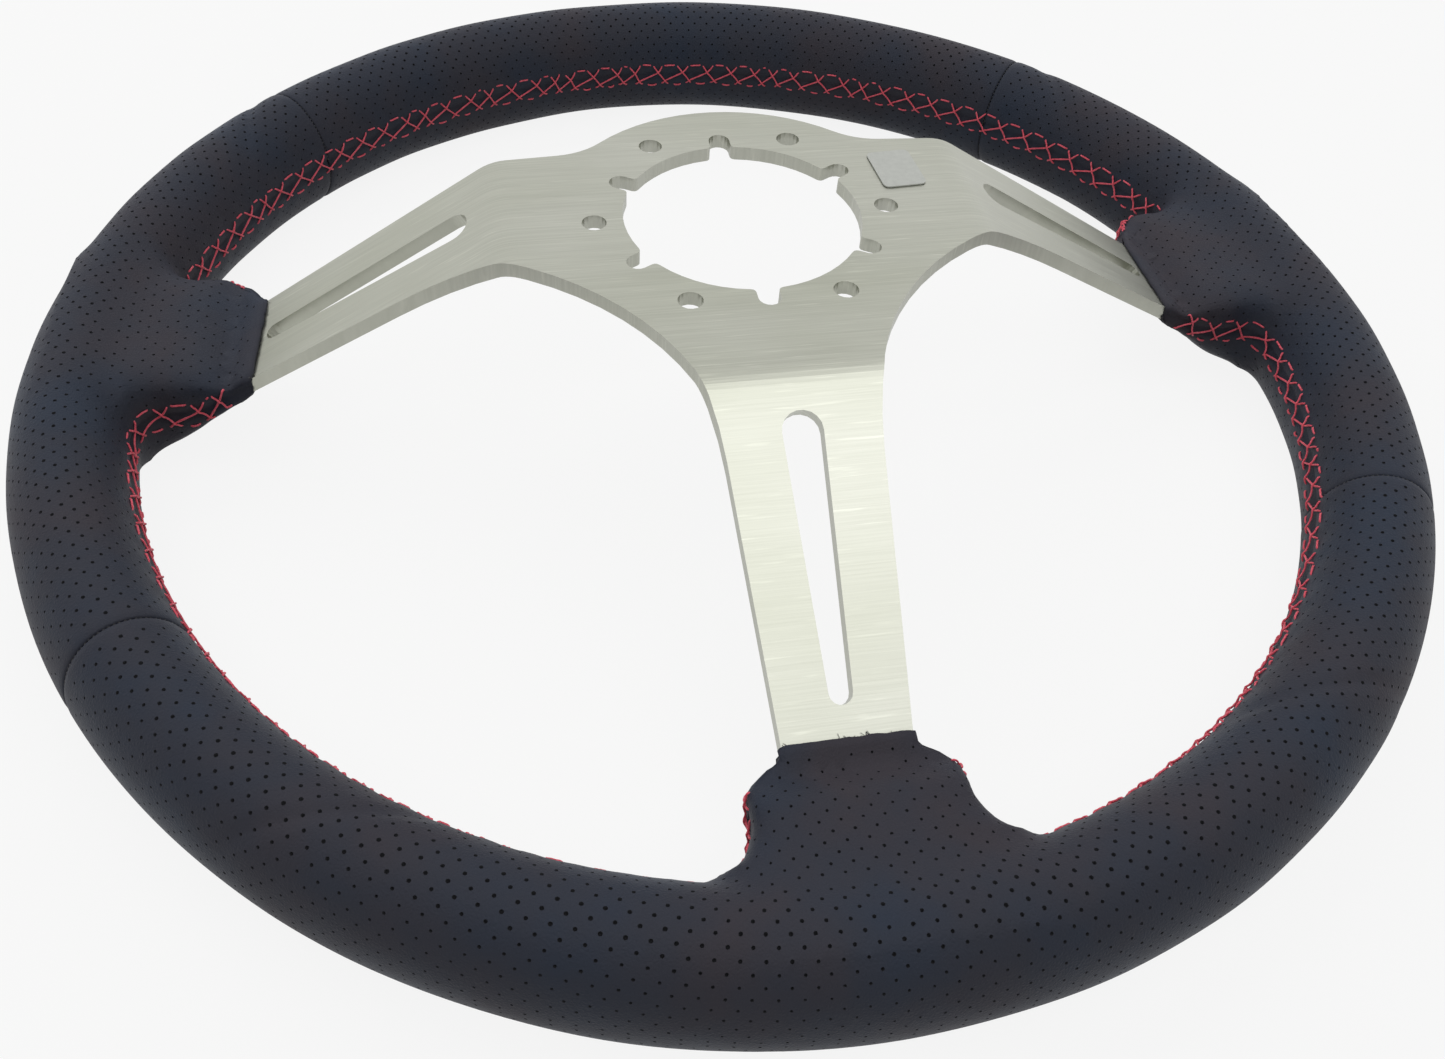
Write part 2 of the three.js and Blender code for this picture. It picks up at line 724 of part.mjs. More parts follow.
// Zigzag of red thread across the laced seam, as one unbroken strand.
function lacing(run) {
  const radius = lacingDiameter / 2;
  const route = lacingRoute(run);
  const standOff = lacingLift + radius;
  const legs = 2 * Math.round(route.total / lacingPitch);
  const steps = 2 * legs;
  const step = 0.25 / steps;
  const stretch = Math.hypot(lacingPitch / 2, lacingHeight) / (lacingPitch / 2);
  const rings = [];
  for (let i = 0; i <= steps; i++) {
    const drop = i % 2 === 1 ? 0 : lacingHeight / 2 * (i % 4 === 0 ? 1 : -1);
    const before = route.place(Math.max(0, i / steps - step), 0);
    const after = route.place(Math.min(1, i / steps + step), 0);
    const along = after.sub(before).setZ(0).normalize();
    const outward = up.clone().cross(along);
    const centre = route.place(i / steps, drop);
    while (buried(centre)) {
      centre.addScaledVector(outward, radius);
    }
    centre.addScaledVector(outward, standOff);
    rings.push([0, 1, 2].map((corner) => {
      const angle = 2 * Math.PI * corner / 3;
      return centre.clone()
        .addScaledVector(outward, radius * Math.cos(angle))
        .addScaledVector(up, radius * stretch * Math.sin(angle));
    }));
  }
  return geometryOf(solid(skin(rings)));
}

// Thread loop round the grip, sunk between two panels.
function seamThread(angle) {
  const radius = seamThreadDiameter / 2;
  const wide = gripWidth / 2 - radius;
  const high = gripHeight / 2 - radius;
  const turn = THREE.MathUtils.degToRad(angle);
  const outward = new THREE.Vector3(Math.cos(turn), Math.sin(turn), 0);
  const sideways = new THREE.Vector3(-Math.sin(turn), Math.cos(turn), 0);
  const rings = [];
  const steps = 2 * gripSides;
  for (let i = 0; i < steps; i++) {
    const place = 2 * Math.PI * i / steps;
    const normal = outward.clone().multiplyScalar(high * Math.cos(place));
    normal.addScaledVector(up, wide * Math.sin(place)).normalize();
    const centre = outward.clone().multiplyScalar(rimRadius + wide * Math.cos(place));
    centre.addScaledVector(up, midPlane + high * Math.sin(place));
    rings.push([0, 1, 2, 3].map((corner) => {
      const spin = Math.PI / 2 * corner;
      return centre.clone()
        .addScaledVector(normal, radius * Math.cos(spin))
        .addScaledVector(sideways, radius * Math.sin(spin));
    }));
  }
  return geometryOf(solid(skin(rings, true)));
}

// Small paper label with rounded corners.
function label() {
  const x = labelWidth / 2 - labelCorner;
  const y = labelLength / 2 - labelCorner;
  const quarter = Math.PI / 2;
  const corners = [[x, -y, -quarter], [x, y, 0], [-x, y, quarter], [-x, -y, 2 * quarter]];
  const outline = corners.flatMap(([cx, cy, from]) => (
    arcPoints(cx, cy, labelCorner, from, from + quarter, 4)
  ));
  return geometryOf(prism(new THREE.Shape(outline), 0, labelThickness));
}

const materials = {
  aluminium: { color: 0xb9bbb3, roughness: 0.38, metalness: 1 },
  steel: { color: 0x55585a, roughness: 0.5, metalness: 1 },
  rivet: { color: 0xa9abab, roughness: 0.4, metalness: 1 },
  foam: { color: 0x1d1d1f, roughness: 0.95, metalness: 0 },
  leather: { color: 0x2b2c31, roughness: 0.62, metalness: 0 },
  blackThread: { color: 0x17171a, roughness: 0.8, metalness: 0 },
  redThread: { color: 0xc2293a, roughness: 0.7, metalness: 0 },
  paper: { color: 0xd9d9d2, roughness: 0.7, metalness: 0 },
};

const wheel = new THREE.Group();

function place(name, geometry, material) {
  const mesh = new THREE.Mesh(geometry, new THREE.MeshStandardMaterial(materials[material]));
  mesh.name = name;
  wheel.add(mesh);
  return mesh;
}

place('spoke_plate', spokePlate(), 'aluminium');
place('rim_core', geometryOf(coreRing(0)), 'steel');
for (const [name, root] of Object.entries(roots)) {
  place(`ring_tab_${name}`, ringTab(root), 'steel');
  rivetPlaces(root).forEach((spot, i) => {
    place(`rivet_${name}_${i + 1}`, rivet(), 'rivet').position.copy(spot);
  });
}
place('foam_grip', foamGrip(), 'foam');

const whole = leatherSkin();
const topSeams = [90 - topPanelAngle / 2, 90 + topPanelAngle / 2];
const bottomSeams = [270 - bottomPanelAngle / 2, 270 + bottomPanelAngle / 2];
const fullTurn = 360;
place('leather_top', leatherPanel(whole, topSeams[0], topSeams[1]), 'leather');
place('leather_left', leatherPanel(whole, topSeams[1], bottomSeams[0]), 'leather');
place('leather_bottom', leatherPanel(whole, bottomSeams[0], bottomSeams[1]), 'leather');
place('leather_right', leatherPanel(whole, bottomSeams[1], topSeams[0] + fullTurn), 'leather');

const seams = {
  top_right: topSeams[0],
  top_left: topSeams[1],
  bottom_left: bottomSeams[0],
  bottom_right: bottomSeams[1],
};
for (const [name, angle] of Object.entries(seams)) {
  place(`seam_thread_${name}`, seamThread(angle), 'blackThread');
}
for (const run of lacingRuns) {
  place(run.name, lacing(run), 'redThread');
}

const sticker = place('hub_label', label(), 'paper');
const labelPlace = new THREE.Vector3(hubRadius - labelInset, 0, hubTop + labelGap);
sticker.position.copy(labelPlace.applyAxisAngle(up, THREE.MathUtils.degToRad(labelAngle)));
sticker.rotation.z = THREE.MathUtils.degToRad(labelTurn);

export default wheel;
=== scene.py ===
from collections import namedtuple
import math

import bmesh
import bpy
import numpy as np
from mathutils import Matrix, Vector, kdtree


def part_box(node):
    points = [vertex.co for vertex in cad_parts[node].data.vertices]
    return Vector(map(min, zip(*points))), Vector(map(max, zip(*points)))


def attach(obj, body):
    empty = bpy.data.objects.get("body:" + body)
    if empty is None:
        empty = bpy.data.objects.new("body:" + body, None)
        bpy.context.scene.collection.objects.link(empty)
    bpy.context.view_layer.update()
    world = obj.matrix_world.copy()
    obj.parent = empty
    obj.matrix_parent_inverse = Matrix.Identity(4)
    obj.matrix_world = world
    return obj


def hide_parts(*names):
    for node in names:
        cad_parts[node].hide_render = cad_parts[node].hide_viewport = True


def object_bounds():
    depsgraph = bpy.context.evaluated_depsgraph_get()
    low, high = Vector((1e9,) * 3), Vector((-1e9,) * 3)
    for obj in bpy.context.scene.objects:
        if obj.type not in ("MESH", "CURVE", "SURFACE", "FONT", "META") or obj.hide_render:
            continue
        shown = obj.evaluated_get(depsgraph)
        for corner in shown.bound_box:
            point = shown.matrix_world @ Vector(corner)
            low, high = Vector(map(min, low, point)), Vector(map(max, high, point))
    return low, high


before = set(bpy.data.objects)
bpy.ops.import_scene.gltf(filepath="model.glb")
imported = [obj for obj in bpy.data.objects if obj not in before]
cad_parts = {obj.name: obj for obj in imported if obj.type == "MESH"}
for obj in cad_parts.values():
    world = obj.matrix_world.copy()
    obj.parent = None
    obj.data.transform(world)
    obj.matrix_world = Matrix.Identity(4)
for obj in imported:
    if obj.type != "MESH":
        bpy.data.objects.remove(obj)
cad_low, cad_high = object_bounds()

# Camera: a phone held over the near edge of the wheel, a little to the left.
# The lens is a wide one, and the picture is taken slightly off the lens axis.
MM = 0.001
PHOTO_WIDTH = 1445
FOCAL_PIXELS = 1237.6
AXIS_RIGHT_OF_CENTRE = -21.0
AXIS_BELOW_CENTRE = 13.6

camera_place = np.array([-60.07, -240.72, 234.41]) * MM
looking = np.array([0.14762, 0.63305, -0.75990])
rightward = np.array([0.98409, -0.17080, 0.04889])

camera_data = bpy.data.cameras.new("camera")
camera_data.sensor_width = 36
camera_data.lens = camera_data.sensor_width * FOCAL_PIXELS / PHOTO_WIDTH
camera_data.shift_x = -AXIS_RIGHT_OF_CENTRE / PHOTO_WIDTH
camera_data.shift_y = AXIS_BELOW_CENTRE / PHOTO_WIDTH
camera_data.clip_start = 0.01
camera = bpy.data.objects.new("camera", camera_data)
bpy.context.scene.collection.objects.link(camera)
looking = looking / np.linalg.norm(looking)
rightward = rightward - looking * (rightward @ looking)
rightward = rightward / np.linalg.norm(rightward)
upward = np.cross(rightward, looking)
axes = Matrix([list(rightward), list(upward), list(-looking)]).transposed()
camera.matrix_world = Matrix.Translation(list(camera_place)) @ axes.to_4x4()
bpy.context.scene.camera = camera

# Spoke plate: one sheet of aluminium, cut out, dished at the three bends and brushed across.
# It keeps its solid. The brushing, a slight haze and fine scratches are in the metal's finish.


def srgb(code):
    """Linear colour of a six digit hex code."""
    values = [int(code[i:i + 2], 16) / 255 for i in (0, 2, 4)]
    return [v / 12.92 if v <= 0.04045 else ((v + 0.055) / 1.055) ** 2.4 for v in values] + [1]


def new_finish(name, roughness, metallic=0.0):
    """A new material with its node tree and its main shader."""
    finish = bpy.data.materials.new(name)
    finish.use_nodes = True
    shader = finish.node_tree.nodes["Principled BSDF"]
    shader.inputs["Roughness"].default_value = roughness
    shader.inputs["Metallic"].default_value = metallic
    return finish, finish.node_tree, shader


def node(tree, kind, **values):
    """A shader node with its settings, its links and its other inputs given by name."""
    made = tree.nodes.new(kind)
    for key, value in values.items():
        if hasattr(made, key):
            setattr(made, key, value)
        elif isinstance(value, bpy.types.NodeSocket):
            tree.links.new(value, made.inputs[key.replace("_", " ")])
        else:
            made.inputs[key.replace("_", " ")].default_value = value
    return made


def stretched_noise(tree, scale, squeeze, detail, roughness=0.6):
    """Noise in the object's own metres, drawn out along an axis by a small squeeze."""
    place = node(tree, "ShaderNodeTexCoord").outputs["Object"]
    place = node(tree, "ShaderNodeMapping", Vector=place, Scale=squeeze).outputs["Vector"]
    noise = node(tree, "ShaderNodeTexNoise", Vector=place, Scale=scale, Detail=detail,
                 Roughness=roughness)
    return noise.outputs["Fac"]


def ramp_colours(tree, factor, stops):
    """Colours along a factor: stops are (position, hex code)."""
    ramp = node(tree, "ShaderNodeValToRGB", Fac=factor)
    elements = ramp.color_ramp.elements
    while len(elements) < len(stops):
        elements.new(0.5)
    for element, (position, code) in zip(elements, stops):
        element.position = position
        element.color = srgb(code)
    return ramp.outputs["Color"]


def between(tree, factor, low, high):
    """A number from low to high as the factor goes from a quarter to three quarters."""
    spread = node(tree, "ShaderNodeMapRange", Value=factor, From_Min=0.25, From_Max=0.75,
                  To_Min=low, To_Max=high)
    return spread.outputs["Result"]


def bump(tree, height, distance, strength=1.0, after=None):
    """Normal from a height field; distance is the real height of a full step."""
    made = node(tree, "ShaderNodeBump", Height=height, Strength=strength, Distance=distance)
    if after is not None:
        tree.links.new(after, made.inputs["Normal"])
    return made.outputs["Normal"]


def times(tree, first, second):
    """Two colours multiplied."""
    mix = node(tree, "ShaderNodeMix", data_type="RGBA", blend_type="MULTIPLY", Factor=1.0)
    tree.links.new(first, mix.inputs[6])
    tree.links.new(second, mix.inputs[7])
    return mix.outputs[2]


def wire(tree, shader, colour, normal, roughness=None):
    """Links a shader's colour, its normal and, where it varies, its roughness."""
    tree.links.new(colour, shader.inputs["Base Color"])
    tree.links.new(normal, shader.inputs["Normal"])
    if roughness is not None:
        tree.links.new(roughness, shader.inputs["Roughness"])


def brushed_aluminium():
    finish, tree, shader = new_finish("brushed_aluminium", 0.36, 1.0)
    fine = stretched_noise(tree, 3200, (0.012, 1, 0.012), 3)
    scratch = stretched_noise(tree, 1500, (0.05, 1, 0.05), 2, 0.5)
    cloudy = stretched_noise(tree, 16, (0.5, 1, 1), 3)
    tone = ramp_colours(tree, fine, [(0.3, "babbb1"), (0.7, "cacbc1")])
    haze = ramp_colours(tree, cloudy, [(0.35, "f0f1ec"), (0.65, "ffffff")])
    nicks = ramp_colours(tree, scratch, [(0.62, "f1f1f1"), (0.72, "ffffff")])
    colour = times(tree, times(tree, tone, haze), nicks)
    normal = bump(tree, scratch, 0.00002, 0.4, bump(tree, fine, 0.00002, 0.5))
    wire(tree, shader, colour, normal, between(tree, fine, 0.31, 0.42))
    return finish


def dress(name, finish):
    """A kept CAD node takes a finish."""
    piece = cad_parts[name]
    piece.data.materials.clear()
    piece.data.materials.append(finish)


dress("spoke_plate", brushed_aluminium())

# Hub label: a small rounded sticker of matt paper, stuck on the hub and left blank.
# The paper is slightly mottled and its faint rubbing shows in the roughness.


def grainy_finish(name, grain, stops, roughness, depth, strength=0.5, metallic=0.0):
    """A finish whose colour, bump and roughness all follow one fine noise. Grain is the noise's
    scale and detail, and roughness is its plain value, low and high, or the plain value alone."""
    finish, tree, shader = new_finish(name, roughness[0], metallic)
    noise = stretched_noise(tree, grain[0], (1, 1, 1), grain[1])
    colour = ramp_colours(tree, noise, stops)
    varied = between(tree, noise, *roughness[1:]) if len(roughness) > 1 else None
    wire(tree, shader, colour, bump(tree, noise, depth, strength), varied)
    return finish


label_paper = grainy_finish("label_paper", (700, 4), [(0.3, "b6b8b2"), (0.7, "c2c4be")],
                            (0.55, 0.5, 0.62), 0.00002)
dress("hub_label", label_paper)

# Rim core, ring tabs and rivets: a round steel ring, three plates welded to it, and two
# rivets through each spoke end. They are hidden in the grip, plain rolled and turned metal.


def plain_metal(name, dark, light, roughness):
    varied = (roughness, roughness - 0.08, roughness + 0.1)
    return grainy_finish(name, (320, 5), [(0.3, dark), (0.7, light)], varied, 0.00004, metallic=1.0)


SPOKES = ("left", "right", "bottom")
steel = plain_metal("mill_steel", "4b4e50", "64676a", 0.5)
rivet_metal = plain_metal("rivet_metal", "9a9c9c", "b4b6b6", 0.4)
dress("rim_core", steel)
for spoke in SPOKES:
    dress(f"ring_tab_{spoke}", steel)
    for number in (1, 2):
        dress(f"rivet_{spoke}_{number}", rivet_metal)

# Foam grip: polyurethane foam moulded round the ring and the spoke ends. It is out of sight
# under the leather, and keeps the moulded shape of its solid with a fine open skin.


def cell_pattern(tree, scale, feature):
    """Small cells in the object's own metres."""
    place = node(tree, "ShaderNodeTexCoord").outputs["Object"]
    cells = node(tree, "ShaderNodeTexVoronoi", feature=feature, Vector=place, Scale=scale)
    return cells.outputs["Distance"]


def foam_finish():
    finish, tree, shader = new_finish("moulded_foam", 0.9)
    distance = cell_pattern(tree, 1600.0, "F1")
    colour = ramp_colours(tree, distance, [(0.1, "151517"), (0.6, "232326")])
    wire(tree, shader, colour, bump(tree, distance, 0.0002, 0.6))
    return finish


def add_piece(name, mesh, finish, slot, *stands_for):
    """A new piece of the object, riding on the wheel and standing for its CAD nodes."""
    mesh.materials.append(finish)
    piece = bpy.data.objects.new(name, mesh)
    bpy.context.scene.collection.objects.link(piece)
    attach(piece, "root")
    if stands_for:
        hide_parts(*stands_for)
    return piece


foam_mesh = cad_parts["foam_grip"].data.copy()
foam_mesh.materials.clear()
foam = add_piece("foam_core", foam_mesh, foam_finish(), "foam", "foam_grip")

# Form of the grip: an oval ring with a boss for each spoke, in millimetres. The leather, the
# seams and the stitches are worked out from it. A boss starts as a thin lip that hugs the
# spoke, swells up at a soft crease and runs into the ring with a flare on each side.
grip_low, grip_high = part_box("leather_top")
MIDDLE = (grip_low.z + grip_high.z) / 2 / MM
OUTER_RADIUS = grip_high.y / MM
HALF_WIDTH = 27.1 / 2
HALF_HEIGHT = (grip_high.z - grip_low.z) / 2 / MM
RING_RADIUS = OUTER_RADIUS - HALF_WIDTH
RING_INNER = RING_RADIUS - HALF_WIDTH
LEATHER_COVER = 1.5
BOSS_TOP = 11.5
BOSS_TOP_RISE = 2.1
BOSS_BOTTOM = 12.4
BOSS_RISE_LENGTH = 7.0
BOSS_BOTTOM_LENGTH = 25.0
BOSS_END = RING_INNER + 15.0
SQUARENESS_LIP = 6.0
SQUARENESS_BOSS = 4.6
FLARE_END = 0.93
JOINING_RADIUS = 5.0
HUB_TOP = 64.2
PLATE_THICKNESS = 3.5
SPOKE_TIP = 151.45
SPOKE_HALF_AT_BEND = 17.5
SPOKE_HALF_AT_TIP = 11.5
SPOKE_DROP = 41.6
LANDING = 128.45
CREASE_BLEND = 4.0
RING_LEAST_SLOPE = 0.001
BOSS_LEAST_SLOPE = 0.01
BOSS_LEAST_SIZE = 0.3

# A side's half width, where behind the lip it swells and over what length, how far inside the
# ring its flare starts, and the flare's length and width.
Side = namedtuple("Side", "body start length inside flare wide")
PLAIN_SIDE = Side(14.8, 7.0, 5.0, 7.0, 7.0, 6.0)
BOTTOM_SIDE = Side(21.6, 1.5, 5.0, 15.0, 13.0, 12.0)
THUMB_SIDE = Side(29.5, 0.0, 11.0, 15.0, 14.0, 18.0)
THUMB_SIDE_RIGHT = Side(32.0, -1.0, 12.0, 16.0, 15.0, 18.0)
Boss = namedtuple("Boss", "along across offset bend turn lip crease sides angle cut")


def boss(along, across, offset, bend, lip, crease, plus, minus, cut):
    """One spoke's boss. Reach runs outwards along the spoke and lateral across it; turn is +1
    where lateral grows anticlockwise. The cut is how far the lip's edge was left long, and how
    much longer it gets with each millimetre across."""
    along, across = np.array(along, float), np.array(across, float)
    turn = 1 if along[0] * across[1] - along[1] * across[0] > 0 else -1
    centre = offset * across + RING_RADIUS * along
    lip = RING_INNER - lip
    return Boss(along, across, offset, bend, turn, lip, lip + crease, {1: plus, -1: minus},
                math.atan2(centre[1], centre[0]), cut)


BOSSES = {
    "right": boss((1, 0), (0, 1), offset=9.8, bend=56.5, lip=29.9, crease=7.5,
                  plus=THUMB_SIDE_RIGHT, minus=PLAIN_SIDE, cut=(0.3, 0.02)),
    "left": boss((-1, 0), (0, 1), offset=9.8, bend=56.5, lip=29.9, crease=7.5,
                 plus=THUMB_SIDE, minus=PLAIN_SIDE, cut=(0.4, 0.11)),
    "bottom": boss((0, -1), (1, 0), offset=0.0, bend=55.5, lip=25.4, crease=5.5,
                   plus=BOTTOM_SIDE, minus=BOTTOM_SIDE, cut=(1.0, 0.0)),
}


def eased(value, start, length):
    return np.sin(math.pi / 2 * np.clip((value - start) / length, 0, 1))


def smooth(value, start, length):
    share = np.clip((value - start) / length, 0, 1)
    return share * share * (3 - 2 * share)


def spoke_face(root, reach, side):
    """Height of a face of the spoke: side is +1 for the back face and -1 for the front."""
    slope = math.atan2(SPOKE_DROP, LANDING - root.bend)
    middle = HUB_TOP - PLATE_THICKNESS / 2 - (reach - root.bend) * math.tan(slope)
    return middle + side * PLATE_THICKNESS / 2 / math.cos(slope)


def half_width(root, side, reach):
    shape = root.sides[side]
    share = (np.minimum(reach, root.crease) - root.bend) / (SPOKE_TIP - root.bend)
    lip = SPOKE_HALF_AT_BEND + (SPOKE_HALF_AT_TIP - SPOKE_HALF_AT_BEND) * share + LEATHER_COVER
    body = lip + (shape.body - lip) * eased(reach, root.lip + shape.start, shape.length)
    flare = np.clip((reach - RING_INNER + shape.inside) / shape.flare, 0, FLARE_END)
    return body + shape.wide * (1 - np.sqrt(1 - flare ** 2))


def section(root, reach):
    """Centre height, half height and squareness of a boss at a reach."""
    low_reach = np.minimum(reach, root.crease)
    lip_top = spoke_face(root, low_reach, 1) + LEATHER_COVER
    lip_bottom = spoke_face(root, low_reach, -1) - LEATHER_COVER
    share = np.clip((reach - root.crease) / (RING_INNER - root.crease), 0, 1)
    rise = smooth(reach, root.crease - CREASE_BLEND, BOSS_RISE_LENGTH + CREASE_BLEND)
    top = lip_top + (MIDDLE + BOSS_TOP + BOSS_TOP_RISE * share - lip_top) * rise
    fall = eased(reach, root.crease, BOSS_BOTTOM_LENGTH)
    bottom = lip_bottom + (MIDDLE - BOSS_BOTTOM - lip_bottom) * fall
    squareness = SQUARENESS_LIP + (SQUARENESS_BOSS - SQUARENESS_LIP) * rise
    return (top + bottom) / 2, (top - bottom) / 2, squareness


def to_boss(root, points):
    flat = points[..., :2] - root.offset * root.across
    return flat @ root.along, flat @ root.across


def from_boss(root, reach, lateral, height):
    reach, lateral, height = np.broadcast_arrays(reach, lateral, height)
    flat = reach[..., None] * root.along + (lateral + root.offset)[..., None] * root.across
    return np.concatenate([flat, height[..., None]], -1)


def ring_distance(points):
    """Distance outside the oval ring, negative inside."""
    out = np.hypot(points[..., 0], points[..., 1]) - RING_RADIUS
    up = points[..., 2] - MIDDLE
    size = np.hypot(out / HALF_WIDTH, up / HALF_HEIGHT)
    slope = np.hypot(out / HALF_WIDTH ** 2, up / HALF_HEIGHT ** 2)
    return size * (size - 1) / np.maximum(slope, RING_LEAST_SLOPE)


def boss_distance(root, points):
    """Distance outside a boss, negative inside."""
    reach, lateral = to_boss(root, points)
    middle, half, squareness = section(root, reach)
    width = np.where(lateral > 0, half_width(root, 1, reach), half_width(root, -1, reach))
    x = np.abs(lateral) / width
    y = np.abs(points[..., 2] - middle) / half
    size = (x ** squareness + y ** squareness) ** (1 / squareness)
    size = np.maximum(size, BOSS_LEAST_SIZE)
    slope = np.hypot((x / size) ** (squareness - 1) / width, (y / size) ** (squareness - 1) / half)
    return np.maximum((size - 1) / np.maximum(slope, BOSS_LEAST_SLOPE), reach - BOSS_END)


def grip_distance(root, points):
    """Distance outside ring and boss, joined with a soft fillet."""
    ring = ring_distance(points)
    if root is None:
        return ring
    other = boss_distance(root, points)
    share = np.clip(0.5 + 0.5 * (other - ring) / JOINING_RADIUS, 0, 1)
    return other * (1 - share) + ring * share - JOINING_RADIUS * share * (1 - share)


CORNERS = np.array([(1, -1, -1), (-1, -1, 1), (-1, 1, -1), (1, 1, 1)], float)
SLOPE_STEP = 0.06
GROWTH_LIMITS = (0.4, 2.0)
LONGEST_MOVE = 4.0


def grip_slope(root, points):
    """The steepest direction out of the form and how fast the distance grows along it."""
    slope = sum(corner * grip_distance(root, points + SLOPE_STEP * corner)[..., None]
                for corner in CORNERS)
    slope = slope / (len(CORNERS) * SLOPE_STEP)
    size = np.maximum(np.linalg.norm(slope, axis=-1, keepdims=True), 1e-6)
    return slope / size, size[..., 0]


def grip_normal(root, points):
    return grip_slope(root, points)[0]


def onto_grip(root, points, steps=3):
    """Points moved straight onto the form's surface."""
    for _ in range(steps):
        outward, growth = grip_slope(root, points)
        gap = grip_distance(root, points) / np.clip(growth, *GROWTH_LIMITS)
        points = points - np.clip(gap, -LONGEST_MOVE, LONGEST_MOVE)[..., None] * outward
    return points


# Seam line: where the leather's two edges meet, along the inside of the ring and out along
# the bosses' walls to the lips. There are three runs, one in each window. The line wanders a
# little above the middle of the grip, and climbs with the lips where a run nears a spoke.
SEAM_DESCENT = 9.0
LINE_STEP = 0.5
WALL_POINTS = 120
WALL_LIMIT = 0.98
SWEEP_POINTS = 500
SMOOTHING_ROUNDS = 12
RUN_ENDS = {
    "top": ("right", "left"),
    "lower_left": ("left", "bottom"),
    "lower_right": ("bottom", "right"),
}


def along_line(points):
    """Distance travelled along a line of points."""
    steps = np.linalg.norm(np.diff(points, axis=0), axis=1)
    return np.concatenate([[0], np.cumsum(steps)])


def resampled(points, places, at=None):
    at = along_line(points) if at is None else at
    return np.stack([np.interp(places, at, points[:, k]) for k in range(points.shape[1])], 1)


def line_places(start, end):
    """Places between two distances along a line, about one line step apart."""
    return np.linspace(start, end, max(2, round((end - start) / LINE_STEP) + 1))


def evenly(points):
    return resampled(points, line_places(0, along_line(points)[-1]))


def wall_line(root, side, rise):
    """The seam line on a boss's wall, from its lip to where the wall meets the ring, there a
    rise above the middle of the grip."""
    reach = np.linspace(root.lip, RING_INNER, WALL_POINTS)
    middle, half, squareness = section(root, reach)
    share = smooth(reach, root.lip, root.crease + SEAM_DESCENT - root.lip)
    height = middle[0] + (MIDDLE + rise - middle[0]) * share
    off = np.clip(np.abs(height - middle) / half, 0, WALL_LIMIT)
    width = half_width(root, side, reach) * (1 - off ** squareness) ** (1 / squareness)
    line = from_boss(root, reach, side * width, height)
    inside = np.nonzero(ring_distance(line) < 0)[0]
    return line[:inside[0]] if len(inside) else line


def seam_run(first, last, rises, change):
    """The whole seam line of a window, from one boss's lip anticlockwise to the next one's.
    Rises are its heights over the middle of the grip at the start, half way and at the end, and
    change is the length over which each end's height dies away."""
    start = wall_line(BOSSES[first], BOSSES[first].turn, rises[0])
    end = wall_line(BOSSES[last], -BOSSES[last].turn, rises[2])[::-1]
    angles = [math.atan2(p[1], p[0]) for p in (start[-1], end[0])]
    angles[1] += math.tau * (angles[1] < angles[0])
    sweep = np.linspace(angles[0], angles[1], SWEEP_POINTS)[1:-1]
    height = rises[1]
    for rise, away in ((rises[0], sweep - sweep[0]), (rises[2], sweep[-1] - sweep)):
        height = height + (rise - rises[1]) * (1 - smooth(away * RING_INNER, 0, change))
    radius = RING_RADIUS - HALF_WIDTH * np.sqrt(1 - (height / HALF_HEIGHT) ** 2)
    ring = np.stack([radius * np.cos(sweep), radius * np.sin(sweep), MIDDLE + height], 1)
    line = evenly(np.concatenate([start, ring, end]))
    near = {first: line[:len(line) // 2], last: line[len(line) // 2:]}
    halves = []
    for name, half in near.items():
        for _ in range(SMOOTHING_ROUNDS):
            half[1:-1] += 0.5 * ((half[:-2] + half[2:]) / 2 - half[1:-1])
            half[1:-1] = onto_grip(BOSSES[name], half[1:-1], steps=1)
        halves.append(half)
    return evenly(np.concatenate(halves))


SEAM_RUNS = {
    "top": seam_run(*RUN_ENDS["top"], rises=(3.0, 0.0, 0.5), change=180.0),
    "lower_left": seam_run(*RUN_ENDS["lower_left"], rises=(2.0, 2.8, 1.8), change=70.0),
    "lower_right": seam_run(*RUN_ENDS["lower_right"], rises=(1.8, 2.5, 2.6), change=70.0),
}

# Leather panels: four pieces of perforated black leather, wetted, pulled over the foam and sewn
# up on the inside of the ring, butted and drawn in at the four cross seams. Each one with a
# spoke also wraps that spoke's boss, folds in behind its lip and ends as a cut edge on the metal.
THICKNESS = 1.2
GRID_STEP = 1.45
ROWS = 44
SEAM_HALF_GAP = 0.18
SPREAD = math.radians(9)
CLEAR_OF_RING = 1.5
TOP_SEAM = math.radians(44.85)
BOTTOM_SEAM = math.radians(61.25)
BOTTOM_TURN = math.radians(1.0)
BOTTOM_MIDDLE = 0.75 * math.tau + BOTTOM_TURN
SEAMS = {
    "top_right": math.pi / 2 - TOP_SEAM,
    "top_left": math.pi / 2 + TOP_SEAM,
    "bottom_left": BOTTOM_MIDDLE - BOTTOM_SEAM,
    "bottom_right": BOTTOM_MIDDLE + BOTTOM_SEAM,
}
PULL_DEPTH = 0.38
PULL_WIDTH = 0.6
STITCH_DIP = 0.45
STITCH_DIP_WIDTH = 1.6
NARROW_DIP_WIDTH = 0.4 * STITCH_DIP_WIDTH
STITCH_PITCH = 8.6
SWELL = 0.24
PUCKER = 0.13
PUCKER_PLACE = 5.0
PUCKER_WIDTH = 1.8
FOLD_DEPTH = 0.55
FOLD_WIDTH = 1.7
FOLD_PLACE = 1.0
CALM_LENGTH = 12.0
LIP_REGION = 40.0
EDGE_COLUMN = 0.3
LIP_POINTS = 400
EVENING = 0.6
GRID_PASSES = ((3, 16), (2, 4))
SKIVING = 0.5
SKIVING_WIDTH = 2.0
RAGGED = 0.12
CUT_FADE = 9.0
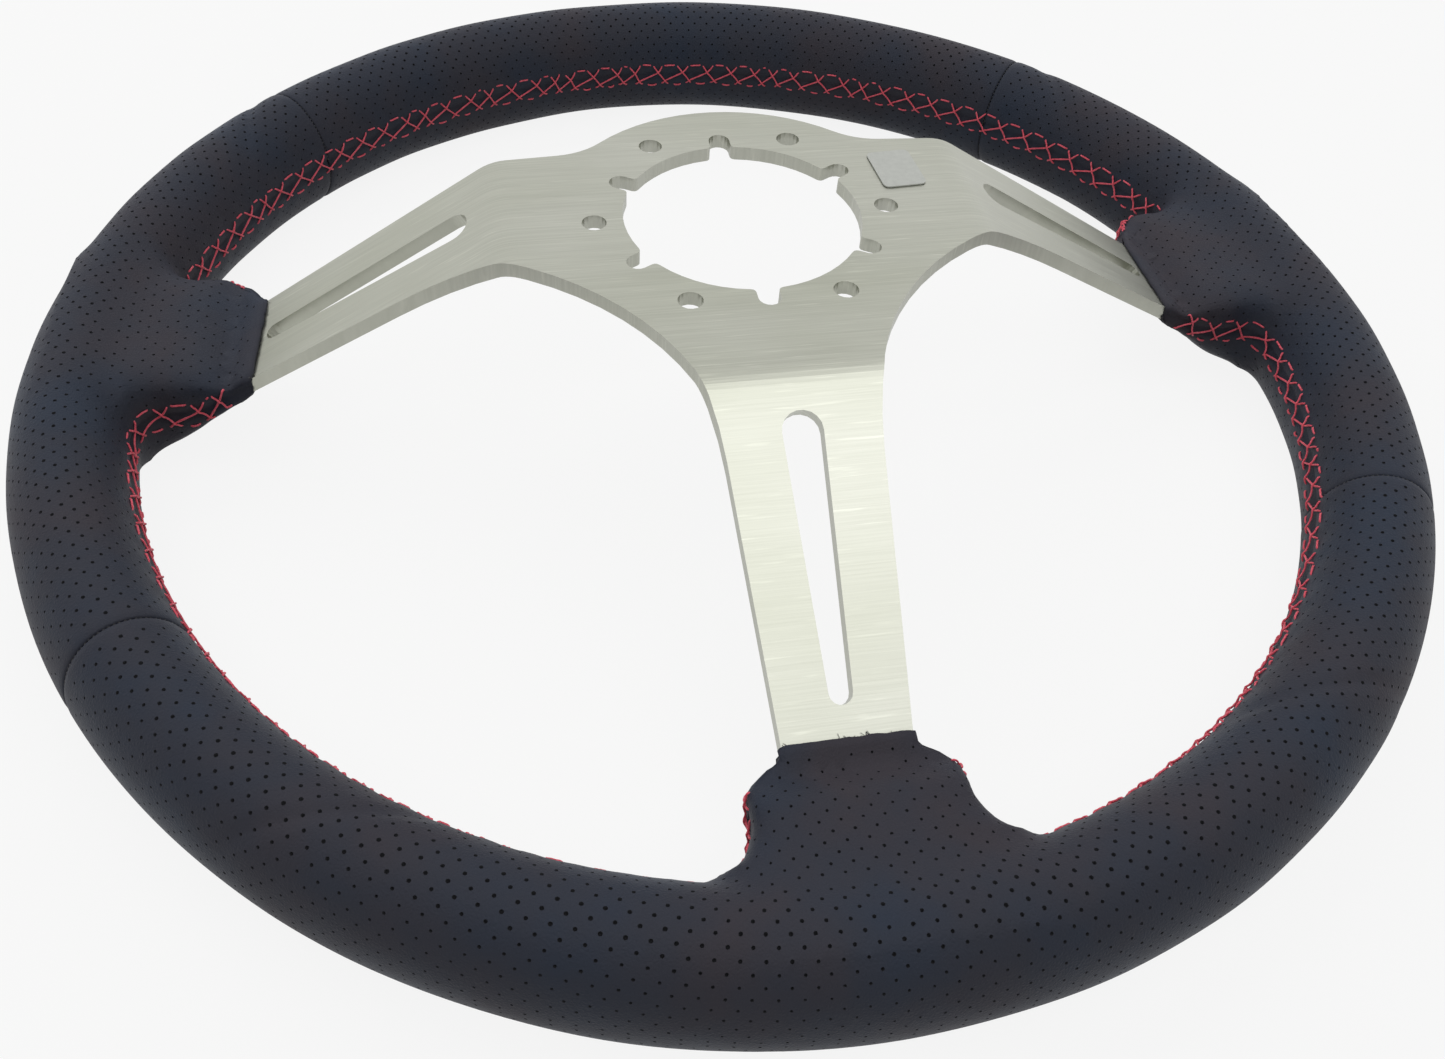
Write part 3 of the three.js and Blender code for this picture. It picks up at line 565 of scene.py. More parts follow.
PANELS = {
    "top": (None, SEAMS["top_right"], SEAMS["top_left"]),
    "left": ("left", SEAMS["top_left"], SEAMS["bottom_left"]),
    "bottom": ("bottom", SEAMS["bottom_left"], SEAMS["bottom_right"]),
    "right": ("right", BOTTOM_TURN + BOTTOM_SEAM - math.pi / 2, SEAMS["top_right"]),
}
RUNS_AFTER = {first: run for run, (first, last) in RUN_ENDS.items()}
RUNS_BEFORE = {last: run for run, (first, last) in RUN_ENDS.items()}


def plan_angles(line, near):
    """Angles of a line round the wheel, unwrapped and within half a turn of near."""
    angles = np.unwrap(np.arctan2(line[:, 1], line[:, 0]))
    return angles + math.tau * round((near - angles[len(angles) // 2]) / math.tau)


def cut_line(line, low, high, near):
    """The part of a line between two angles."""
    angles = plan_angles(line, near)
    places = along_line(line)
    ordered = np.maximum.accumulate(angles)
    start = np.interp(low, ordered, places) if low is not None else 0
    end = np.interp(high, ordered, places) if high is not None else places[-1]
    return resampled(line, line_places(start, end), places)


def lip_line(root, up):
    """Half of the edge round a boss's lip, over the back of the spoke or under its front."""
    middle, half, squareness = section(root, np.array(root.lip))
    turn = np.linspace(math.pi, 0, LIP_POINTS)
    c, s = np.cos(turn), np.sin(turn)
    x = np.sign(c) * np.abs(c) ** (2 / squareness)
    y = np.abs(s) ** (2 / squareness)
    wide = [half_width(root, side * root.turn, root.lip) for side in (1, -1)]
    lateral = root.turn * x * np.where(x > 0, *wide)
    return evenly(from_boss(root, root.lip, lateral, middle + up * y * half))


def panel_edges(root_name, low, high):
    """The panel's inner edge over the back and under the front, and where its lip is."""
    gap = SEAM_HALF_GAP / RING_RADIUS
    if root_name is None:
        line = cut_line(SEAM_RUNS["top"], low + gap, high - gap, math.pi / 2)
        return line, line, None
    root = BOSSES[root_name]
    before = cut_line(SEAM_RUNS[RUNS_BEFORE[root_name]], low + gap, None, low)
    after = cut_line(SEAM_RUNS[RUNS_AFTER[root_name]], None, high - gap, high)
    over, under = lip_line(root, 1), lip_line(root, -1)
    count = min(len(over), len(under))
    over, under = (resampled(l, np.linspace(0, along_line(l)[-1], count)) for l in (over, under))
    edges = [np.concatenate([before, l[1:-1], after]) for l in (over, under)]
    return edges[0], edges[1], (len(before) - 1, len(before) + count - 2)


def outer_angles(edge, root, low, high):
    """Angle round the outside of the ring for each point of the inner edge."""
    angles = np.clip(plan_angles(edge, (low + high) / 2), low, high)
    if root is None:
        return angles
    centre = (low + high) / 2 + math.remainder(root.angle - (low + high) / 2, math.tau)
    on_boss = np.hypot(edge[:, 0], edge[:, 1]) < RING_INNER - CLEAR_OF_RING
    wide = np.abs(angles[on_boss] - centre).max() + SPREAD
    inside = np.nonzero(np.abs(angles - centre) < wide)[0]
    first, last = inside[0], inside[-1]
    places = along_line(edge)
    share = (places[first:last + 1] - places[first]) / (places[last] - places[first])
    angles[first:last + 1] = angles[first] + (angles[last] - angles[first]) * share
    return angles


def panel_grid(root_name, low, high):
    """Points of a panel on the form, columns along the ring and rows from the seam line under
    the front, round the outside and over the back. Also tells which columns are at the lip."""
    root = BOSSES.get(root_name)
    over, under, lip = panel_edges(root_name, low, high)
    angles = outer_angles(over, root, low, high)
    measure = (along_line(over) + (angles - angles[0]) * OUTER_RADIUS) / 2
    stops = [0, len(over) - 1] if lip is None else [0, lip[0], lip[1], len(over) - 1]
    places, lip_columns = [], None
    for first, last in zip(stops[:-1], stops[1:]):
        count = max(2, round((measure[last] - measure[first]) / GRID_STEP))
        places.append(np.linspace(measure[first], measure[last], count + 1)[:-1])
    if lip is not None:
        lip_columns = (len(places[0]), len(places[0]) + len(places[1]))
    places = np.concatenate(places + [[measure[-1]]])
    over = resampled(over, places, measure)
    under = resampled(under, places, measure)
    angles = np.interp(places, measure, angles)
    outside = np.stack([OUTER_RADIUS * np.cos(angles), OUTER_RADIUS * np.sin(angles)], 1)
    halves = []
    for edge, up in ((under, -1), (over, 1)):
        turn = np.linspace(0, math.pi, ROWS + 1)[None, :, None]
        share = (1 - np.cos(turn)) / 2
        flat = outside[:, None] * (1 - share) + edge[:, None, :2] * share
        height = MIDDLE + up * HALF_HEIGHT * np.sin(turn)
        height = height + (edge[:, None, 2:] - MIDDLE) * turn / math.pi
        halves.append(np.concatenate([flat, height], 2))
    grid = np.concatenate([halves[0][:, ::-1], halves[1][:, 1:]], 1)
    for rounds, passes in GRID_PASSES:
        for _ in range(rounds):
            grid[:, 1:-1] = onto_grip(root, grid[:, 1:-1])
            space_rows(grid)
        for _ in range(passes):
            grid[1:-1, 1:-1] = evened(root, grid, EVENING)
    return grid, lip_columns


def evened(root, grid, share):
    """A grid's inner points, moved by a share towards the middle of their four neighbours."""
    middle = grid[1:-1, 1:-1]
    around = (grid[:-2, 1:-1] + grid[2:, 1:-1] + grid[1:-1, :-2] + grid[1:-1, 2:]) / 4
    return onto_grip(root, middle + share * (around - middle), steps=1)


def space_rows(grid):
    """Spreads the rows evenly over each half of every column."""
    for column in grid:
        at = along_line(column)
        for half in (slice(0, ROWS + 1), slice(ROWS, None)):
            places = np.linspace(at[half][0], at[half][-1], ROWS + 1)
            column[half] = resampled(column[half], places, at[half])


# Punched holes: every panel is perforated in staggered rows before it is wrapped. The rows run
# along the ring and carry on over the bosses. Each hole is a small round pit, and the lattice
# stops short of the cut edges, the cross seams and the stitches.
HOLE_RADII = (0.25, 0.47)
HOLE_DEPTH = 0.75
HOLE_PITCH = 4.2
ROW_PITCH = 2.2
STITCH_MARGIN = 4.6
LIP_MARGIN = 1.4
LIP_SEAM_MARGIN = 2.8
SEAM_MARGIN = 2.2
CLEAR_OF_BOSS = 0.4
CLEAR_OF_OVAL = 0.2
REACH_STEP = 0.25
HOLE_SPACING = 1.9
PIT_TAPER = 0.8
SECTION_POINTS = 721
OUTLINE_POINTS = 300
POINTS_TRIED = 7
SETTLING_ROUNDS = 8
SETTLING = 0.5
CROWN_STRETCH = 0.65
PLAIN_STRETCH = 0.18
UNEVEN_STRETCH = 0.15
PUNCH_SPREAD = 0.08
NEIGHBOURS = ((1, 0), (1, 1), (0, 1), (-1, 1), (-1, 0), (-1, -1), (0, -1), (1, -1))
punching = np.random.default_rng(3)


def tree_of(points):
    tree = kdtree.KDTree(len(points))
    for number, point in enumerate(points):
        tree.insert(point, number)
    tree.balance()
    return tree


seam_tree = tree_of(np.concatenate(list(SEAM_RUNS.values())))
section_turn = np.linspace(0, math.pi, SECTION_POINTS)
half_oval = [HALF_WIDTH * np.cos(section_turn), HALF_HEIGHT * np.sin(section_turn)]
section_arc = along_line(np.stack(half_oval, 1))
CROWN_ARC = section_arc[-1] / 2


def lattice(extent, row):
    """Places along a row, staggered in every other row."""
    count = int(extent / HOLE_PITCH) + 2
    return (np.arange(-count, count + 1) + 0.5 * (row % 2)) * HOLE_PITCH


def ring_holes(root, low, high):
    centre = (low + high) / 2
    if root is not None:
        crown = from_boss(root, math.sqrt(RING_RADIUS ** 2 - root.offset ** 2), 0.0, 0.0)
        centre += math.remainder(math.atan2(crown[1], crown[0]) - centre, math.tau)
    found = []
    for row in range(int(section_arc[-1] / ROW_PITCH)):
        turn = np.interp((row + 0.5) * ROW_PITCH, section_arc, section_turn)
        angle = centre + lattice((high - low) * RING_RADIUS, row) / RING_RADIUS
        margin = SEAM_MARGIN / RING_RADIUS
        angle = angle[(angle > low + margin) & (angle < high - margin)]
        radius = RING_RADIUS + HALF_WIDTH * math.cos(turn)
        for up in (1, -1):
            height = np.full(len(angle), MIDDLE + up * HALF_HEIGHT * math.sin(turn))
            found.append(np.stack([radius * np.cos(angle), radius * np.sin(angle), height], 1))
    found = np.concatenate(found)
    return found if root is None else found[boss_distance(root, found) > CLEAR_OF_BOSS]


def boss_holes(root):
    found = []
    for up in (1, -1):
        reach = np.arange(RING_RADIUS, root.lip + LIP_MARGIN, -REACH_STEP)
        middle, half, squareness = section(root, reach)
        inwards = (RING_RADIUS - reach) / HALF_WIDTH
        ring = MIDDLE + up * HALF_HEIGHT * np.sqrt(np.clip(1 - inwards ** 2, 0, 1))
        height = up * np.maximum(up * (middle + up * half), up * ring)
        arc = CROWN_ARC + along_line(np.stack([reach, height], 1))
        for row in range(int(CROWN_ARC / ROW_PITCH), int(arc[-1] / ROW_PITCH) + 1):
            place = (row + 0.5) * ROW_PITCH
            if not arc[0] < place < arc[-1]:
                continue
            at = np.interp(place, arc, reach)
            middle, half, squareness = section(root, at)
            turn = np.linspace(math.pi / 2, 0, OUTLINE_POINTS)
            x, y = np.cos(turn) ** (2 / squareness), np.sin(turn) ** (2 / squareness)
            for side in (1, -1):
                width = half_width(root, side, at)
                outline = np.stack([x * width, y * half], 1)
                length = along_line(outline)
                places = side * lattice(length[-1], row)
                spots = resampled(outline, places[(places >= 0) & (places < length[-1])], length)
                found.append(from_boss(root, at, side * spots[:, 0], middle + up * spots[:, 1]))
    found = np.concatenate(found)
    return found[ring_distance(found) > CLEAR_OF_OVAL]


def hole_centres(root, low, high):
    """Hole centres on a panel, without those too near a stitch, an edge or each other."""
    found = ring_holes(root, low, high)
    if root is not None:
        found = np.concatenate([found, boss_holes(root)])
    found = onto_grip(root, found)
    margin = np.full(len(found), STITCH_MARGIN)
    if root is not None:
        reach, lateral = to_boss(root, found)
        margin[(reach < root.crease) & (np.abs(lateral) < LIP_REGION)] = LIP_SEAM_MARGIN
    kept, dropped = [], set()
    tree = tree_of(found)
    for number, point in enumerate(found):
        if number in dropped or seam_tree.find(point)[2] < margin[number]:
            continue
        kept.append(point)
        near = tree.find_range(point, HOLE_SPACING)
        dropped.update(other for _, other, _ in near if other > number)
    return np.array(kept)


def settle_holes(root, grid, centres):
    """Moves the nearest free grid point onto each hole centre and evens out the points between.
    Returns the grid places of the holes."""
    columns, rows = grid.shape[:2]
    tree = tree_of(grid.reshape(-1, 3))
    taken = np.zeros((columns, rows), bool)
    places = []
    for centre in centres:
        for _, number, _ in tree.find_n(centre, POINTS_TRIED):
            column, row = divmod(number, rows)
            inner = 1 < column < columns - 2 and 1 < row < rows - 2
            if inner and not taken[column - 1:column + 2, row - 1:row + 2].any():
                taken[column, row] = True
                places.append((column, row))
                grid[column, row] = centre
                break
    free = ~taken[1:-1, 1:-1, None]
    for _ in range(SETTLING_ROUNDS):
        moved = evened(root, grid, SETTLING)
        grid[1:-1, 1:-1] = np.where(free, moved, grid[1:-1, 1:-1])
    return np.array(places)


def with_edge_columns(root, grid):
    """The grid with one more column close to each cross seam, for the narrow groove there."""
    first, last = (onto_grip(root, (1 - EDGE_COLUMN) * grid[end] + EDGE_COLUMN * grid[inner])
                   for end, inner in ((0, 1), (-1, -2)))
    return np.concatenate([grid[:1], first[None], grid[1:-1], last[None], grid[-1:]])


def waves(points):
    """Slow unevenness of hand-pulled leather, between -1 and 1."""
    x, y, z = points[..., 0], points[..., 1], points[..., 2]
    long = np.sin(x / 17 + 1.3 * np.sin(y / 29)) * np.sin(y / 21 + 0.8)
    short = np.sin(x / 7.3 + y / 11 + z / 5) * np.sin(y / 8.1 - z / 6 + 2)
    return 0.65 * long + 0.35 * short


def unit(vectors):
    return vectors / np.linalg.norm(vectors, axis=-1, keepdims=True)


def bell(distance, width):
    """1 at no distance, dying away over a width."""
    return np.exp(-(distance / width) ** 2)


def pulled(root, grid, low, high):
    """The panel as it lies: drawn in at its seams and stitches, and a little uneven."""
    normal = grip_normal(root, grid)
    angle = np.arctan2(grid[..., 1], grid[..., 0])
    radius = np.hypot(grid[..., 0], grid[..., 1])
    depth = np.zeros(grid.shape[:2])
    for seam in (low, high):
        away = np.abs(np.remainder(angle - seam + math.pi, math.tau) - math.pi) * radius
        depth += PULL_DEPTH * bell(away, PULL_WIDTH)
    flat = grid.reshape(-1, 3)
    found = [seam_tree.find(point) for point in flat]
    near = np.array([distance for _, _, distance in found]).reshape(depth.shape)
    along = LINE_STEP * np.array([number for _, number, _ in found]).reshape(depth.shape)
    pucker = np.cos(math.tau * along / STITCH_PITCH)
    depth += PUCKER * (pucker * bell(near - PUCKER_PLACE, PUCKER_WIDTH))
    depth += STITCH_DIP * (bell(near, STITCH_DIP_WIDTH) + bell(near, NARROW_DIP_WIDTH))
    calm = 1.0
    if root is not None:
        reach, lateral = to_boss(root, grid)
        calm = np.clip((reach - root.lip) / CALM_LENGTH, 0, 1)
        fold = bell(reach - root.crease + FOLD_PLACE, FOLD_WIDTH)
        depth += FOLD_DEPTH * fold * np.clip(normal[..., 2], 0, 1)
        depth += skived(root, grid)
    depth -= SWELL * waves(grid) * calm
    lying = grid - depth[..., None] * normal
    if root is not None:
        ragged = np.sin(2.3 * lateral) * np.sin(0.9 * lateral + 1) + 0.6 * np.sin(5.1 * lateral + 2)
        longer = root.cut[0] + root.cut[1] * lateral + RAGGED * ragged
        longer = longer * np.clip(1 - (reach - root.lip) / CUT_FADE, 0, 1)
        longer = longer * (np.abs(lateral) < LIP_REGION)
        slope = math.atan2(SPOKE_DROP, LANDING - root.bend)
        inwards = np.array([*(-root.along * math.cos(slope)), math.sin(slope)])
        lying = lying + longer[..., None] * inwards
    return lying


def skived(root, points):
    """How much thinner the leather is pared towards the cut edge on a lip."""
    if root is None:
        return np.zeros(points.shape[:-1])
    reach, lateral = to_boss(root, points)
    return SKIVING * bell(reach - root.lip, SKIVING_WIDTH) * (np.abs(lateral) < LIP_REGION)


def hole_radii(centres):
    """Hole sizes: the hide is stretched most over the crown of the ring, and unevenly elsewhere."""
    crown = np.clip(np.abs(centres[:, 2] - MIDDLE) / HALF_HEIGHT, 0, 1)
    share = CROWN_STRETCH * crown ** 4 + PLAIN_STRETCH + UNEVEN_STRETCH * waves(1.3 * centres + 40)
    share = share + punching.normal(0, PUNCH_SPREAD, len(centres))
    return HOLE_RADII[0] + (HOLE_RADII[1] - HOLE_RADII[0]) * np.clip(share, 0, 1)


def panel_mesh(name, root, grid, lip_columns, holes):
    """A panel as one closed skin: the outside with its holes, the flesh side and the cut edges."""
    columns, rows = grid.shape[:2]
    normal = grip_normal(root, grid)
    flesh = grid - (THICKNESS - skived(root, grid))[..., None] * normal
    shift = columns * rows
    index = np.arange(shift).reshape(columns, rows)
    joined = np.ones(columns, bool)
    if lip_columns is not None:
        joined[lip_columns[0] + 1:lip_columns[1]] = False
    index[joined, -1] = index[joined, 0]
    quads = np.stack([index[:-1, :-1], index[1:, :-1], index[1:, 1:], index[:-1, 1:]], -1)
    whole = np.ones(quads.shape[:2], bool)
    column, row = holes.T
    for c, r in ((0, 0), (-1, 0), (0, -1), (-1, -1)):
        whole[column + c, row + r] = False
    faces = quads[whole].tolist() + (quads.reshape(-1, 4)[:, ::-1] + shift).tolist()
    edges = [(index[0], False), (index[-1], True)]
    if lip_columns is not None:
        lip = index[lip_columns[0]:lip_columns[1] + 1]
        edges += [(lip[:, 0], True), (lip[:, -1], False)]
    for line, flip in edges:
        rim = np.stack([line[:-1], line[1:], line[1:] + shift, line[:-1] + shift], -1)
        faces += (rim[:, ::-1] if flip else rim).tolist()
    skin_faces = len(faces)
    around = np.stack([index[column + c, row + r] for c, r in NEIGHBOURS], 1)
    centre, up = grid[column, row][:, None], normal[column, row][:, None]
    outward = np.stack([grid[column + c, row + r] for c, r in NEIGHBOURS], 1) - centre
    outward = outward - (outward * up).sum(-1, keepdims=True) * up
    outward = unit(outward)
    radius = hole_radii(grid[column, row])[:, None, None]
    rim = centre + radius * outward
    floor_ring = centre + PIT_TAPER * radius * outward - HOLE_DEPTH * up
    sides = len(NEIGHBOURS)
    first = 2 * shift + 2 * sides * np.arange(len(holes))[:, None]
    ring, deep = first + np.arange(sides), first + sides + np.arange(sides)
    after = np.roll(np.arange(sides), -1)
    web = np.stack([ring, around, around[:, after], ring[:, after]], -1).reshape(-1, 4)
    wall = np.stack([ring, ring[:, after], deep[:, after], deep], -1).reshape(-1, 4)
    faces += web.tolist() + wall.tolist() + deep.tolist()
    pits = np.concatenate([rim, floor_ring], 1).reshape(-1, 3)
    points = np.concatenate([grid.reshape(-1, 3), flesh.reshape(-1, 3), pits]) * MM
    mesh = bpy.data.meshes.new(name)
    mesh.from_pydata(points.tolist(), [], faces)
    mesh.shade_smooth()
    ends = np.zeros(2 * len(mesh.edges), np.int32)
    mesh.edges.foreach_get("vertices", ends)
    ends = ends.reshape(-1, 2) - 2 * shift
    sharp = ((ends >= 0) & (ends % (2 * sides) < sides)).all(1)
    mesh.attributes.new("sharp_edge", "BOOLEAN", "EDGE").data.foreach_set("value", sharp)
    finish_number = np.zeros(len(mesh.polygons), np.int32)
    # The pits' walls and floors take the second finish, which is darker partly as painted shade.
    finish_number[skin_faces + len(web):] = 1
    mesh.polygons.foreach_set("material_index", finish_number)
    tidy_up(mesh)
    return mesh


def tidy_up(mesh):
    """Drops points that no face uses."""
    made = bmesh.new()
    made.from_mesh(mesh)
    bmesh.ops.delete(made, geom=[v for v in made.verts if not v.link_faces], context="VERTS")
    made.to_mesh(mesh)
    made.free()


def leather_finish():
    finish, tree, shader = new_finish("black_leather", 0.55)
    cloudy = stretched_noise(tree, 26, (1, 1, 1), 3)
    grain = stretched_noise(tree, 1500, (1, 1, 1), 4)
    stops = [(0.32, "2e3542"), (0.5, "34363f"), (0.68, "3b383e")]
    colour = ramp_colours(tree, cloudy, stops)
    creases = cell_pattern(tree, 1300.0, "DISTANCE_TO_EDGE")
    normal = bump(tree, creases, 0.0002, 0.5, bump(tree, grain, 0.00012, 0.8))
    wire(tree, shader, colour, normal, between(tree, cloudy, 0.46, 0.6))
    shader.inputs["Specular IOR Level"].default_value = 0.11
    return finish


leather = leather_finish()
# Pit walls and floors: raw cut fibre of the hide, coloured darker than the leather partly for the
# fibre and partly as painted shade in the pits.
fibre_and_painted_shade = [(0.3, "101116"), (0.7, "191a1f")]
punched = grainy_finish("punched_hole", (4000, 2), fibre_and_painted_shade, (0.85,), 0.00005)
for panel, (root_name, low, high) in PANELS.items():
    root = BOSSES.get(root_name)
    grid, lip_columns = panel_grid(root_name, low, high)
    holes = settle_holes(root, grid, hole_centres(root, low, high))
    holes[:, 0] += 1
    lip_columns = None if lip_columns is None else (lip_columns[0] + 1, lip_columns[1] + 1)
    grid = pulled(root, with_edge_columns(root, grid), low, high)
    mesh = panel_mesh(f"leather_{panel}_hide", root, grid, lip_columns, holes)
    hide = add_piece(f"leather_{panel}_hide", mesh, leather, "leather", f"leather_{panel}")
    hide.data.materials.append(punched)

# Lacing: waxed red thread, sewn by hand in a cross stitch that pulls the leather's two edges
# together. In each pitch one arm climbs over the seam and one drops back across it. Arms are
# pulled round each other where they meet, and straight stitches along the edges join the pairs.
STITCH_REACH = 3.35
UPPER_CROSSING = 0.9
LOWER_CROSSING = -1.95
UPPER_SPREAD = 2.0
LOWER_SPREAD = 1.5
UPPER_SETBACK = 0.35
LOWER_SETBACK = 1.2
UPPER_SHIFT = 1.6
SHIFT_CHANGE = 0.4
SHIFT_WAVE = 31.0
SHORT_PITCH = 5.3
SHORT_SHARE = 0.1
PITCH_SPREAD = 0.35
SHORTEST_EDGE_STITCH = 1.2
FIRST_STITCH = {"left": 9.0, "right": 6.0, "bottom": 8.0}
THREAD_RADIUS = 0.245
THREAD_SIDES = 8
THREAD_STEPS = 25
LYING_HEIGHT = 0.75 * THREAD_RADIUS
CROSSING_LIFT = 0.42
CROSSING_WIDTH = 0.8
EDGE_SAG = 0.15
ENDS_SUNK = 1.0
SINKING_LENGTH = 0.45
STITCH_SHAKE = (0.2, 0.15)
PLY_TURN = 2.6
PLY_DEPTH = 0.13
uneven = np.random.default_rng(11)


def tubes(name, paths, radius, ups):
    """Round threads of two twisted plies along paths, as one mesh. ups gives each point a side."""
    points, faces = [], []
    turn = np.arange(THREAD_SIDES) * math.tau / THREAD_SIDES
    for path, up in zip(paths, ups):
        ahead = unit(np.gradient(path, axis=0))
        side = unit(np.cross(ahead, up))[:, None]
        over = np.cross(side[:, 0], ahead)[:, None]
        ply = 1 + PLY_DEPTH * np.cos(2 * turn[None] - PLY_TURN * along_line(path)[:, None] / radius)
        ring = side * np.cos(turn)[None, :, None] + over * np.sin(turn)[None, :, None]
        ring = path[:, None] + radius * ply[..., None] * ring
        first = sum(len(p) for p in points)
        index = first + np.arange(len(path) * THREAD_SIDES).reshape(len(path), THREAD_SIDES)
        after = np.roll(index, -1, 1)
        strips = np.stack([index[:-1], index[1:], after[1:], after[:-1]], -1)
        faces += strips.reshape(-1, 4).tolist()
        faces += [index[0].tolist(), index[-1, ::-1].tolist()]
        points.append(ring.reshape(-1, 3))
    mesh = bpy.data.meshes.new(name)
    mesh.from_pydata((np.concatenate(points) * MM).tolist(), [], faces)
    mesh.shade_smooth()
    return mesh


def stitch_places(start, length):
    """Where the arms cross near the lower edge: hand sewn pitches, short ones at both ends."""
    pitches = [SHORT_PITCH]
    while sum(pitches) < length - SHORT_PITCH:
        short = uneven.random() < SHORT_SHARE
        pitches.append((SHORT_PITCH if short else STITCH_PITCH) + uneven.normal(0, PITCH_SPREAD))
    pitches.append(SHORT_PITCH)
    return start + np.concatenate([[0], np.cumsum(pitches)]) * length / sum(pitches)


def bent_thread(corners):
    """A thread laid flat through its corners, rounded where it is pulled round another one."""
    corners = np.array(corners)
    flat = resampled(corners, np.linspace(0, along_line(corners)[-1], THREAD_STEPS))
    for _ in range(3):
        flat[1:-1] += (flat[:-2] + flat[2:] - 2 * flat[1:-1]) / 4
    return flat


def edge_stitch(start, end, side):
    """A straight stitch along an edge, bowed slightly away from the seam."""
    share = np.linspace(0, 1, THREAD_STEPS // 2)
    flat = start + (end - start) * share[:, None]
    flat[:, 1] += side * EDGE_SAG * np.sin(math.pi * share)
    return flat


def stitches(run):
    """Paths and surface normals of every stitch along a run. A flat place is the distance along
    the seam line and the height over it."""
    line = SEAM_RUNS[run]
    at = along_line(line)
    roots = [BOSSES[name] for name in RUN_ENDS[run]]
    first, last = (FIRST_STITCH[name] for name in RUN_ENDS[run])
    lower = stitch_places(first, at[-1] - first - last)
    pitch = np.diff(lower)
    shift = UPPER_SHIFT * (1 + SHIFT_CHANGE * np.sin(lower[1:] / SHIFT_WAVE)) * pitch / STITCH_PITCH
    upper = (lower[:-1] + lower[1:]) / 2 - shift

    def hole(place, side):
        shake = uneven.normal(0, STITCH_SHAKE)
        return np.array([place + shake[0], side * (STITCH_REACH + shake[1])])

    climbing, dropping = [], []
    for place, before, after in zip(upper, lower[:-1], lower[1:]):
        top, left, right = (place, UPPER_CROSSING), (before, LOWER_CROSSING), (after, LOWER_CROSSING)
        climbing.append([hole(before - LOWER_SPREAD, -1), left, top, hole(place + UPPER_SPREAD, 1)])
        dropping.append([hole(place - UPPER_SPREAD, 1), top, right, hole(after + LOWER_SPREAD, -1)])
    threads = [(bent_thread(arm), arm[1:3]) for arm in climbing]
    threads += [(bent_thread(arm), []) for arm in dropping]
    edges = [(up[3], down[0], UPPER_SETBACK, 1) for up, down in zip(climbing[:-1], dropping[1:])]
    edges += [(down[3], up[0], LOWER_SETBACK, -1) for down, up in zip(dropping[:-2], climbing[2:])]
    for start, end, setback, side in edges:
        if end[0] - start[0] - 2 * setback > SHORTEST_EDGE_STITCH:
            back = np.array([setback, 0])
            threads.append((edge_stitch(start + back, end - back, side), []))
    paths, ups = [], []
    for flat, crossings in threads:
        base = resampled(line, np.clip(flat[:, 0], 0, at[-1]), at)
        base[:, 2] += flat[:, 1]
        root = roots[0] if flat[0, 0] < at[-1] / 2 else roots[1]
        from_hole = np.minimum(*(np.linalg.norm(flat - flat[end], axis=1) for end in (0, -1)))
        lift = LYING_HEIGHT - ENDS_SUNK * bell(from_hole, SINKING_LENGTH)
        for crossing in crossings:
            lift += CROSSING_LIFT * bell(np.linalg.norm(flat - crossing, axis=1), CROSSING_WIDTH)
        base = onto_grip(root, base)
        normal = grip_normal(root, base)
        paths.append(base + lift[:, None] * normal)
        ups.append(normal)
    return paths, ups


def thread_finish(name, dark, middle, light):
    stops = [(0.25, dark), (0.5, middle), (0.8, light)]
    finish = grainy_finish(name, (2600, 4), stops, (0.6, 0.5, 0.75), 0.00008, 0.8)
    shader = finish.node_tree.nodes["Principled BSDF"]
    shader.inputs["Sheen Weight"].default_value = 0.25
    shader.inputs["Sheen Roughness"].default_value = 0.4
    return finish


red_thread = thread_finish("red_waxed_thread", "bb3040", "e25264", "f48898")
for run in SEAM_RUNS:
    paths, ups = stitches(run)
    mesh = tubes(f"cross_stitch_{run}", paths, THREAD_RADIUS, ups)
    add_piece(f"cross_stitch_{run}", mesh, red_thread, "red_thread", f"lacing_{run}")

# Cross seams: black thread whipped across the butt joint of two neighbouring panels, sunk in
# the groove round the ring.
SEAM_THREAD_RADIUS = 0.15
WHIP_PITCH = 2.2
WHIP_REACH = 0.5
WHIP_STEP = 0.35
WHIP_ENDS = 1.0
WHIP_DEPTH = 0.5
WHIP_SINKING = 0.45
black_thread = thread_finish("black_thread", "0f0f12", "19191c", "2b2b30")


def whipped_seam(angle):
    """A thread's path to and fro across a joint, once round the grip and deepest in its holes."""
    whole_arc = np.concatenate([section_arc, section_arc[1:] + section_arc[-1]])
    whole_turn = np.concatenate([section_turn, section_turn[1:] + math.pi])
    places = np.arange(WHIP_ENDS, section_arc[-1] * 2 - WHIP_ENDS, WHIP_STEP)
    turn = np.interp(places, whole_arc, whole_turn) - math.pi
    phase = np.arange(len(turn)) * WHIP_STEP / WHIP_PITCH
    swing = WHIP_REACH * (2 * np.abs(2 * (phase % 1) - 1) - 1)
    depth = WHIP_DEPTH + WHIP_SINKING * np.abs(swing / WHIP_REACH) ** 3
    radius = RING_RADIUS + (HALF_WIDTH - depth) * np.cos(turn)
    height = MIDDLE + (HALF_HEIGHT - depth) * np.sin(turn)
    at = angle + swing / RING_RADIUS
    return np.stack([radius * np.cos(at), radius * np.sin(at), height], 1)


for seam, angle in SEAMS.items():
    path = whipped_seam(angle)
    mesh = tubes(f"whipped_seam_{seam}", [path], SEAM_THREAD_RADIUS, [grip_normal(None, path)])
    add_piece(f"whipped_seam_{seam}", mesh, black_thread, "black_thread", f"seam_thread_{seam}")

